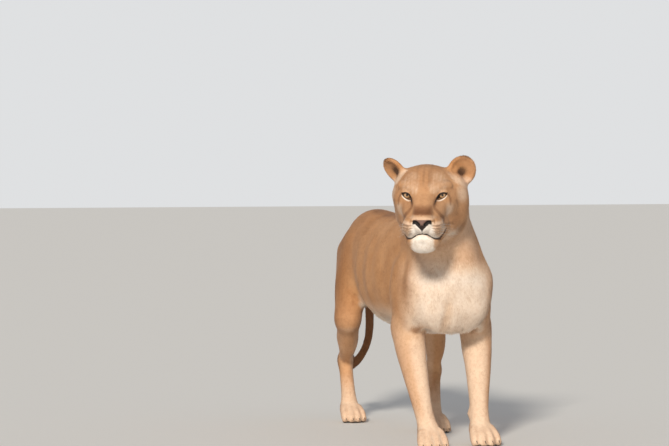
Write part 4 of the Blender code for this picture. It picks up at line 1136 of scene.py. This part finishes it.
material, shader, coat, bare = coat_material("lioness_skin", None)
nodes, wires = material.node_tree.nodes, material.node_tree.links
gloss = nodes.new("ShaderNodeMapRange")
gloss.inputs["To Min"].default_value, gloss.inputs["To Max"].default_value = 0.75, 0.38
wires.new(bare.outputs["Fac"], gloss.inputs["Value"])
wires.new(gloss.outputs[0], shader.inputs["Roughness"])
bump = nodes.new("ShaderNodeBump")
bump.inputs["Strength"].default_value, bump.inputs["Distance"].default_value = 0.6, 0.0015
wires.new(coat.outputs["Streaks"], bump.inputs["Height"])
place, pebbles = nodes.new("ShaderNodeTexCoord"), nodes.new("ShaderNodeTexVoronoi")
leather = nodes.new("ShaderNodeBump")
pebbles.inputs["Scale"].default_value = 520
wires.new(place.outputs["Object"], pebbles.inputs["Vector"])
leather.invert = True
leather.inputs["Distance"].default_value = 0.0006
wires.new(bare.outputs["Fac"], leather.inputs["Strength"])
wires.new(pebbles.outputs["Distance"], leather.inputs["Height"])
wires.new(bump.outputs[0], leather.inputs["Normal"])
wires.new(leather.outputs[0], shader.inputs["Normal"])
skin.data.materials.clear()
skin.data.materials.append(material)
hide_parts(*FLESH)
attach(skin, "root")


# ---------------------------------------------------------------- eyes
# Each eye is a wet ball that bulges in front, with a pale amber iris, a small round pupil and a dark rim.
IRIS_TURN, PUPIL_TURN = 0.62, 0.165      # half angles of the iris and the pupil, seen from the eye's middle
CORNEA_RISE = 0.0009
GAZE = unit(np.array([0.07, 0.98, 0.15]) @ HEAD_AXES)      # towards the viewer


def eye_material():
    material = bpy.data.materials.new("amber_eye")
    material.use_nodes = True
    nodes, wires = material.node_tree.nodes, material.node_tree.links
    shader = nodes["Principled BSDF"]
    ring, spoke = nodes.new("ShaderNodeAttribute"), nodes.new("ShaderNodeAttribute")
    ring.attribute_name, spoke.attribute_name = "ring", "spoke"
    streaks = nodes.new("ShaderNodeTexNoise")
    streaks.inputs["Scale"].default_value, streaks.inputs["Detail"].default_value = 9, 3
    wires.new(spoke.outputs["Vector"], streaks.inputs["Vector"])
    shade = nodes.new("ShaderNodeValToRGB")
    ramp = shade.color_ramp
    stops = [(0.0, (0.004, 0.003, 0.003)), (PUPIL_TURN, (0.006, 0.004, 0.003)),
             (PUPIL_TURN + 0.03, (0.30, 0.17, 0.07)), (0.28, (0.64, 0.42, 0.24)),
             (0.46, (0.58, 0.36, 0.19)), (IRIS_TURN - 0.06, (0.30, 0.16, 0.07)),
             (IRIS_TURN, (0.03, 0.018, 0.012)), (IRIS_TURN + 0.08, (0.05, 0.03, 0.02)),
             (0.95, (0.22, 0.15, 0.11))]
    ramp.elements[0].position, ramp.elements[0].color = stops[0][0], (*stops[0][1], 1)
    ramp.elements[1].position, ramp.elements[1].color = stops[-1][0], (*stops[-1][1], 1)
    for position, colour in stops[1:-1]:
        element = ramp.elements.new(position)
        element.color = (*colour, 1)
    wires.new(ring.outputs["Fac"], shade.inputs["Fac"])
    mix = nodes.new("ShaderNodeMix")
    mix.data_type, mix.blend_type = "RGBA", "MULTIPLY"
    span = nodes.new("ShaderNodeMapRange")
    span.inputs["From Min"].default_value, span.inputs["From Max"].default_value = 0.45, 0.70
    wires.new(streaks.outputs["Fac"], span.inputs["Value"])
    wires.new(span.outputs[0], mix.inputs["Factor"])
    wires.new(shade.outputs["Color"], mix.inputs["A"])
    mix.inputs["B"].default_value = (0.62, 0.55, 0.45, 1)
    wires.new(mix.outputs["Result"], shader.inputs["Base Color"])
    shader.inputs["Roughness"].default_value = 0.08
    shader.inputs["Coat Weight"].default_value = 1.0
    shader.inputs["Coat Roughness"].default_value = 0.03
    return material


AMBER_EYE = eye_material()
for name, out in (("left", 1), ("right", -1)):
    middle = from_head(EYE_PLACE * [out, 1, 1]) + SHIFT
    aim = Vector(GAZE).to_track_quat("Z", "Y").to_matrix().to_4x4()
    ball = bmesh.new()
    bmesh.ops.create_uvsphere(ball, u_segments=48, v_segments=40, radius=EYE_RADIUS)
    turns = []
    for corner in ball.verts:
        turn_from_gaze = corner.co.angle(Vector((0, 0, 1)))
        turns.append((turn_from_gaze, corner.co.x / EYE_RADIUS, corner.co.y / EYE_RADIUS))
        bulge = max(0, math.cos(min(turn_from_gaze / IRIS_TURN, 1) * math.pi / 2))
        corner.co *= 1 + CORNEA_RISE / EYE_RADIUS * bulge
    bmesh.ops.transform(ball, matrix=Matrix.Translation(middle) @ aim, verts=ball.verts)
    mesh = bpy.data.meshes.new(f"eyeball_{name}")
    ball.to_mesh(mesh)
    ball.free()
    mesh.attributes.new("ring", "FLOAT", "POINT").data.foreach_set("value", [turn for turn, _, _ in turns])
    spokes = np.array([(a, b, 0) for _, a, b in turns])
    spokes /= np.maximum(np.linalg.norm(spokes, axis=1), 1e-6)[:, None]
    spoke = mesh.attributes.new("spoke", "FLOAT_VECTOR", "POINT")
    spoke.data.foreach_set("vector", spokes.astype(np.float32).ravel())
    mesh.shade_smooth()
    mesh.materials.append(AMBER_EYE)
    eyeball = bpy.data.objects.new(f"eyeball_{name}", mesh)
    bpy.context.scene.collection.objects.link(eyeball)
    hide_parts(f"eye_{name}")
    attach(eyeball, "root")


# ---------------------------------------------------------------- the coat
# Fine tapered tufts, each a few hairs, rooted in the skin and lying along it: flat blades where the fur is
# short, curved locks where it is long, on the chest, the chin, the ruff, the belly and the tail's tuft.
SHARE = 1.0
SHORT_COVER, LOCK_COVER = 2.0, 2.6        # how many tufts lie over each point of the skin
LONG_FROM, LONG_TO, LONG_MORE = 0.030, 0.040, 2.5   # hair this long grows denser, by up to this share
LEAST_TUFTS = 40                          # fewer don't make a piece
MOST_FACES = 190000                       # in one piece of the coat
LOCK_FROM, LOCK_TO = 0.0145, 0.0200       # longer hair than this grows in locks
SUNK = 0.05                               # how deep a tuft's root is under the skin, as a share of its length
PATCH = 0.003                             # of the skin laid out flat, for a tuft's own picture
OFF_FLOOR = 0.0015                        # no hair reaches lower than this
rng = np.random.default_rng(7)

# A tuft's corners along and across it, as shares of its length and width, each corner's own shade (painted
# shade at the root, where other tufts cover it, and a lighter tip), the triangles between them, their places
# in its patch, and how closely it is lit like the skin under it.
BLADE = {
    "along": [0, 0, 1], "across": [-0.5, 0.5, 0], "shade": [0.15, 0.15, -0.1], "faces": [0, 2, 1],
    "patch": [(0, 0), (1, 0), (0.5, 1)], "skin_like": 0.94, "roll": 0.15, "cover": SHORT_COVER,
}
LOCK = {
    "along": [0, 0, 0.5, 0.5, 1], "across": [-0.5, 0.5, 0.42, -0.42, 0],
    "shade": [0.15, 0.15, 0.0, 0.0, -0.1], "faces": [0, 2, 1, 0, 3, 2, 3, 4, 2],
    "patch": [(0, 0), (1, 0), (1, 0.6), (0, 0.6), (0.5, 1)],
    "skin_like": 0.90, "roll": 0.22, "cover": LOCK_COVER,
}


def unwrap(thing):
    """Lays the skin's own shape out flat, for tufts to take their place in the picture from their roots."""
    bpy.context.view_layer.objects.active = thing
    thing.select_set(True)
    bpy.ops.object.mode_set(mode="EDIT")
    bpy.ops.mesh.select_all(action="SELECT")
    bpy.ops.uv.smart_project(angle_limit=math.radians(66), island_margin=0.002)
    bpy.ops.object.mode_set(mode="OBJECT")
    thing.select_set(False)


skin.data.uv_layers.new(name="OFBake")
unwrap(skin)
mesh = skin.data
mesh.calc_loop_triangles()
flat = np.empty(len(mesh.loop_triangles) * 3, np.int32)
mesh.loop_triangles.foreach_get("vertices", flat)
corners = flat.reshape(-1, 3).copy()
mesh.loop_triangles.foreach_get("loops", flat)
loops = flat.reshape(-1, 3)
flat = np.empty(len(mesh.loops) * 2, np.float32)
mesh.uv_layers["OFBake"].data.foreach_get("uv", flat)
laid_out = flat.reshape(-1, 2)[loops]
skin_points, skin_normals = read_corners(mesh)
width_of = np.clip(0.00055 + 0.055 * length, 0.0007, 0.0024)
areas = np.linalg.norm(np.cross(skin_points[corners[:, 1]] - skin_points[corners[:, 0]],
                                skin_points[corners[:, 2]] - skin_points[corners[:, 0]]), axis=1) / 2
hairy = (length > 0.0022) & (skin_points[:, 2] > 0.004)
locked = rise(length, LOCK_FROM, LOCK_TO)
face_part = part_of[corners[:, 0]]
# Fields over the skin: how far the hair sways from its lie, and how dark it is.
SWAY = 0.16 * waves(skin_points, (0.05, 0.09, 0.07), 11)
SWAY += 0.10 * waves(skin_points, (0.018, 0.030, 0.024), 12)
SHADE = 0.45 + 0.09 * waves(skin_points, (0.010, 0.030, 0.018), 13)
SHADE += 0.08 * waves(skin_points, (0.04, 0.08, 0.08), 14)


def unit_rows(vectors):
    return vectors / np.maximum(np.linalg.norm(vectors, axis=1), 1e-9)[:, None]


def tufts(name, faces, growth, tuft):
    """One piece of the coat: tufts on some faces of the skin, as one mesh."""
    each = len(tuft["faces"]) // 3
    number = len(tuft["along"])
    covered = 0.5 * np.maximum(length, 0.004) * width_of                # by one tuft
    crowd = tuft["cover"] * (1 + LONG_MORE * rise(length, LONG_FROM, LONG_TO)) / covered
    crowd = np.where(hairy, growth * crowd, 0)
    expected = areas[faces] * crowd[corners[faces]].mean(1) * SHARE
    total = int(min(expected.sum(), MOST_FACES // each * SHARE))
    if total < LEAST_TUFTS:
        return
    draw = np.searchsorted(np.cumsum(expected) / expected.sum(), rng.random(total))
    chosen = faces[np.minimum(draw, len(faces) - 1)]
    a, b = rng.random(total), rng.random(total)
    a, b = np.where(a + b > 1, 1 - a, a), np.where(a + b > 1, 1 - b, b)
    share = np.stack([1 - a - b, a, b], 1)[:, :, None]

    def carried(values):
        """The skin's values at the tufts' roots."""
        return (values[corners[chosen]] * (share if values.ndim > 1 else share[:, :, 0])).sum(1)

    root, normal = carried(skin_points), unit_rows(carried(skin_normals))
    long = carried(length) * rng.uniform(0.70, 1.25, total)
    wide = carried(width_of) * rng.uniform(0.8, 1.25, total)
    steep = np.sin(carried(lift) * rng.uniform(0.5, 1.3, total))
    way = carried(lie)
    way = way + np.cross(normal, way) * (carried(SWAY) + rng.normal(0, 0.10, total))[:, None]
    way = unit_rows(way - normal * (way * normal).sum(1)[:, None])
    across = np.cross(normal, way)
    roll = rng.normal(0, tuft["roll"], total)[:, None]
    side = across * np.cos(roll) + normal * np.sin(roll)
    places = np.empty((total, number, 3))
    for corner, (along, beside) in enumerate(zip(tuft["along"], tuft["across"])):
        height = long * steep * (1.88 * along - 0.88 * along ** 2)
        places[:, corner] = (root + way * (long * along)[:, None] + normal * (height - SUNK * long)[:, None]
                             + side * (wide * beside)[:, None])
    places[:, :, 2] = np.maximum(places[:, :, 2], OFF_FLOOR + SHIFT[2])
    faces_of = (np.arange(total)[:, None] * number + np.array(tuft["faces"])).reshape(-1)
    made = bpy.data.meshes.new(name)
    made.vertices.add(total * number)
    made.vertices.foreach_set("co", places.astype(np.float32).ravel())
    made.loops.add(total * each * 3)
    made.loops.foreach_set("vertex_index", faces_of.astype(np.int32))
    made.polygons.add(total * each)
    made.polygons.foreach_set("loop_start", np.arange(total * each, dtype=np.int32) * 3)
    patch = (np.array(tuft["patch"]) - 0.5) * PATCH
    uv = ((laid_out[chosen] * share).sum(1)[:, None] + patch).reshape(-1, 2)
    made.uv_layers.new(name="OFBake").data.foreach_set("uv", uv[faces_of].astype(np.float32).ravel())
    made.update()
    write_marks(made, np.repeat(np.array([carried(mark) for mark in marks]), number, axis=1))
    # Each tuft's tone: the skin's streaks and a random share, plus painted shade at its root and a lighter
    # tip.
    shade = np.repeat(carried(SHADE) + rng.normal(0, 0.13, total), number) + np.tile(tuft["shade"], total)
    hair = made.attributes.new("hair", "FLOAT", "POINT")
    hair.data.foreach_set("value", np.clip(shade, 0, 1).astype(np.float32))
    facing = np.cross(side, places[:, -1] - places[:, 0])
    facing = unit_rows(facing * np.sign((facing * normal).sum(1))[:, None])
    soft = unit_rows(normal * tuft["skin_like"] + facing * (1 - tuft["skin_like"]))
    made.polygons.foreach_set("use_smooth", np.ones(total * each, bool))
    made.normals_split_custom_set_from_vertices(np.repeat(soft, number, axis=0).astype(np.float32))
    made.materials.append(FUR)
    coat = bpy.data.objects.new(name, made)
    bpy.context.scene.collection.objects.link(coat)
    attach(coat, "root")


FUR, shader = coat_material("lioness_fur", "hair")[:2]
shader.inputs["Sheen Weight"].default_value = 0.10
shader.inputs["Sheen Roughness"].default_value = 0.5
middles = skin_points[corners].mean(1) - SHIFT
head_middles = to_head(middles)
ANY = np.ones(len(middles), bool)
CUTS = {"head": {"face": head_middles[:, 1] > 0.0, "crown": head_middles[:, 1] <= 0.0},
        "trunk": {"front": middles[:, 1] < -0.15, "middle": (middles[:, 1] >= -0.15) & (middles[:, 1] < 0.12),
                  "loin": (middles[:, 1] >= 0.12) & (middles[:, 1] < 0.36), "rear": middles[:, 1] >= 0.36}}
for part in PARTS:
    of_part = face_part == PARTS.index(part)
    for word, kept in CUTS.get(part, {"": ANY}).items():
        faces = np.nonzero(of_part & kept & (hairy[corners].sum(1) > 0))[0]
        if len(faces):
            tufts(f"coat_{part}_{word}".rstrip("_"), faces, 1 - locked, BLADE)
            tufts(f"locks_{part}_{word}".rstrip("_"), faces, locked, LOCK)


# ---------------------------------------------------------------- whiskers and claws
# Whiskers are stiff white hairs in four rows on the muzzle, thinning to a point and bending
# back. Claws are small dark horns, each just showing out of its sheath at a toe's tip.
def horns(name, paths, sides, colour, roughness):
    """Tapered curved horns as one mesh: each path is a list of (place, radius)."""
    shape = bmesh.new()
    for path in paths:
        places = [Vector(place) for place, _ in path]
        rings = []
        for step, (_, radius) in enumerate(path):
            way = places[min(step + 1, len(path) - 1)] - places[max(step - 1, 0)]
            turned = Matrix.Translation(places[step]) @ way.to_track_quat("Z", "Y").to_matrix().to_4x4()
            ring = bmesh.ops.create_circle(shape, cap_ends=step in (0, len(path) - 1), segments=sides,
                                           radius=radius, matrix=turned)["verts"]
            rings.append(list(dict.fromkeys(edge for corner in ring for edge in corner.link_edges)))
        for ring, after in zip(rings, rings[1:]):
            bmesh.ops.bridge_loops(shape, edges=ring + after)
    bmesh.ops.recalc_face_normals(shape, faces=shape.faces)
    mesh = bpy.data.meshes.new(name)
    shape.to_mesh(mesh)
    shape.free()
    mesh.shade_smooth()
    material = bpy.data.materials.new(name)
    material.use_nodes = True
    shader = material.node_tree.nodes["Principled BSDF"]
    shader.inputs["Base Color"].default_value, shader.inputs["Roughness"].default_value = colour, roughness
    mesh.materials.append(material)
    thing = bpy.data.objects.new(name, mesh)
    bpy.context.scene.collection.objects.link(thing)
    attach(thing, "root")


WHISKER_BEND = np.array([0, -0.22, -0.45])     # at its tip, as shares of its length
WHISKER_TAPER = 0.85
WHISKER_RADIUS = 0.00030


def whisker(root, way, long, radius):
    """A hair from root along way, bending back and down, all in the head's frame."""
    path = []
    for t in np.linspace(0, 1, 9):
        place = root + way * long * t + WHISKER_BEND * long * t ** 2
        path.append((from_head(place) + SHIFT, radius * (1 - WHISKER_TAPER * t)))
    return path


SPREAD = {1: 0.85, -1: 0.45}    # how far the whiskers of her left and right side stand off the cheek
hairs = np.random.default_rng(21)
paths = []
for out in (1, -1):
    for row in WHISKER_ROWS:
        for share in (0.30, 0.60, 0.90):
            root = row[int(share * (len(row) - 1))] * [out, 1, 1]
            root = root - [0, 0.003, 0]
            drop = 0.10 - 2.2 * (-0.084 - row[0][2])
            way = unit([out * SPREAD[out], -0.10 - 0.65 * share, drop + hairs.normal(0, 0.06)])
            paths.append(whisker(root, way, hairs.uniform(0.050, 0.085), WHISKER_RADIUS))
horns("whiskers", paths, 4, (0.86, 0.82, 0.75, 1), 0.45)

CLAW_LONG, CLAW_RADIUS, CLAW_HIGH = 0.015, 0.0030, 0.024
paths = []
for legs, wide, long in ((FORELEGS, FOREPAW_WIDE, FOREPAW_LONG), (HINDLEGS, HINDPAW_WIDE, HINDPAW_LONG)):
    for name in ("left", "right"):
        joints = legs[name]
        turn = math.radians(joints["turn"])
        side = np.array([math.cos(turn), math.sin(turn), 0])
        ahead = np.array([math.sin(turn), -math.cos(turn), 0])
        ball = np.array(joints["ball"])
        for place in (-1.5, -0.5, 0.5, 1.5):
            toe = ball + side * place * wide * 0.27 * 1.04 + ahead * long * (0.74 - 0.055 * place ** 2)
            root = np.array([toe[0], toe[1], CLAW_HIGH]) + ahead * (wide * 0.148 - 0.007)
            path = []
            for along in np.linspace(0, 1, 6):
                curl = np.array([0, 0, -CLAW_LONG * 0.75 * along ** 2])
                path.append((root + ahead * CLAW_LONG * along + curl + SHIFT,
                             CLAW_RADIUS * (1 - 0.9 * along ** 1.5)))
            paths.append(path)
horns("claws", paths, 8, (0.11, 0.080, 0.060, 1), 0.35)


# ---------------------------------------------------------------- floor, light and camera
# A pale plain floor, a low warm sun a little to the viewer's left, and a pale even room which
# lifts the shadows.
floor_mesh = bpy.data.meshes.new("floor")
sheet = bmesh.new()
bmesh.ops.create_grid(sheet, x_segments=1, y_segments=1, size=40)
sheet.to_mesh(floor_mesh)
sheet.free()
floor = bpy.data.objects.new("floor", floor_mesh)
bpy.context.scene.collection.objects.link(floor)
plaster = bpy.data.materials.new("pale_floor")
plaster.use_nodes = True
plaster.node_tree.nodes["Principled BSDF"].inputs["Base Color"].default_value = (0.80, 0.79, 0.76, 1)
plaster.node_tree.nodes["Principled BSDF"].inputs["Roughness"].default_value = 0.9
floor_mesh.materials.append(plaster)

room = bpy.data.worlds.new("room")
room.use_nodes = True
nodes, wires = room.node_tree.nodes, room.node_tree.links
light, backdrop = nodes["Background"], nodes.new("ShaderNodeBackground")
light.inputs["Color"].default_value, light.inputs["Strength"].default_value = (0.88, 0.90, 0.95, 1), 0.40
backdrop.inputs["Color"].default_value = (0.74, 0.75, 0.76, 1)
seen, choice = nodes.new("ShaderNodeLightPath"), nodes.new("ShaderNodeMixShader")
wires.new(seen.outputs["Is Camera Ray"], choice.inputs[0])
wires.new(light.outputs[0], choice.inputs[1])
wires.new(backdrop.outputs[0], choice.inputs[2])
wires.new(choice.outputs[0], nodes["World Output"].inputs["Surface"])
bpy.context.scene.world = room

TO_SUN = Vector((-0.46, -0.89, 0.46))
sun = bpy.data.lights.new("sun", "SUN")
sun.energy, sun.angle, sun.color = 2.9, math.radians(8), (1.0, 0.93, 0.83)
stand = bpy.data.objects.new("sun", sun)
stand.rotation_euler = (-TO_SUN).to_track_quat("-Z", "Y").to_euler()
bpy.context.scene.collection.objects.link(stand)

CAMERA_PLACE, CAMERA_LENS = np.array([-3.73590537, -11.8469605, 1.2]), 166.6
camera = bpy.data.objects.new("camera", bpy.data.cameras.new("camera"))
camera.data.lens, camera.data.sensor_width = CAMERA_LENS, 36
camera.location = CAMERA_PLACE + SHIFT
camera.rotation_euler = (math.radians(90 - 1.584), 0, math.radians(-16))
bpy.context.scene.collection.objects.link(camera)
bpy.context.scene.camera = camera
bpy.context.scene.view_settings.view_transform = "Standard"
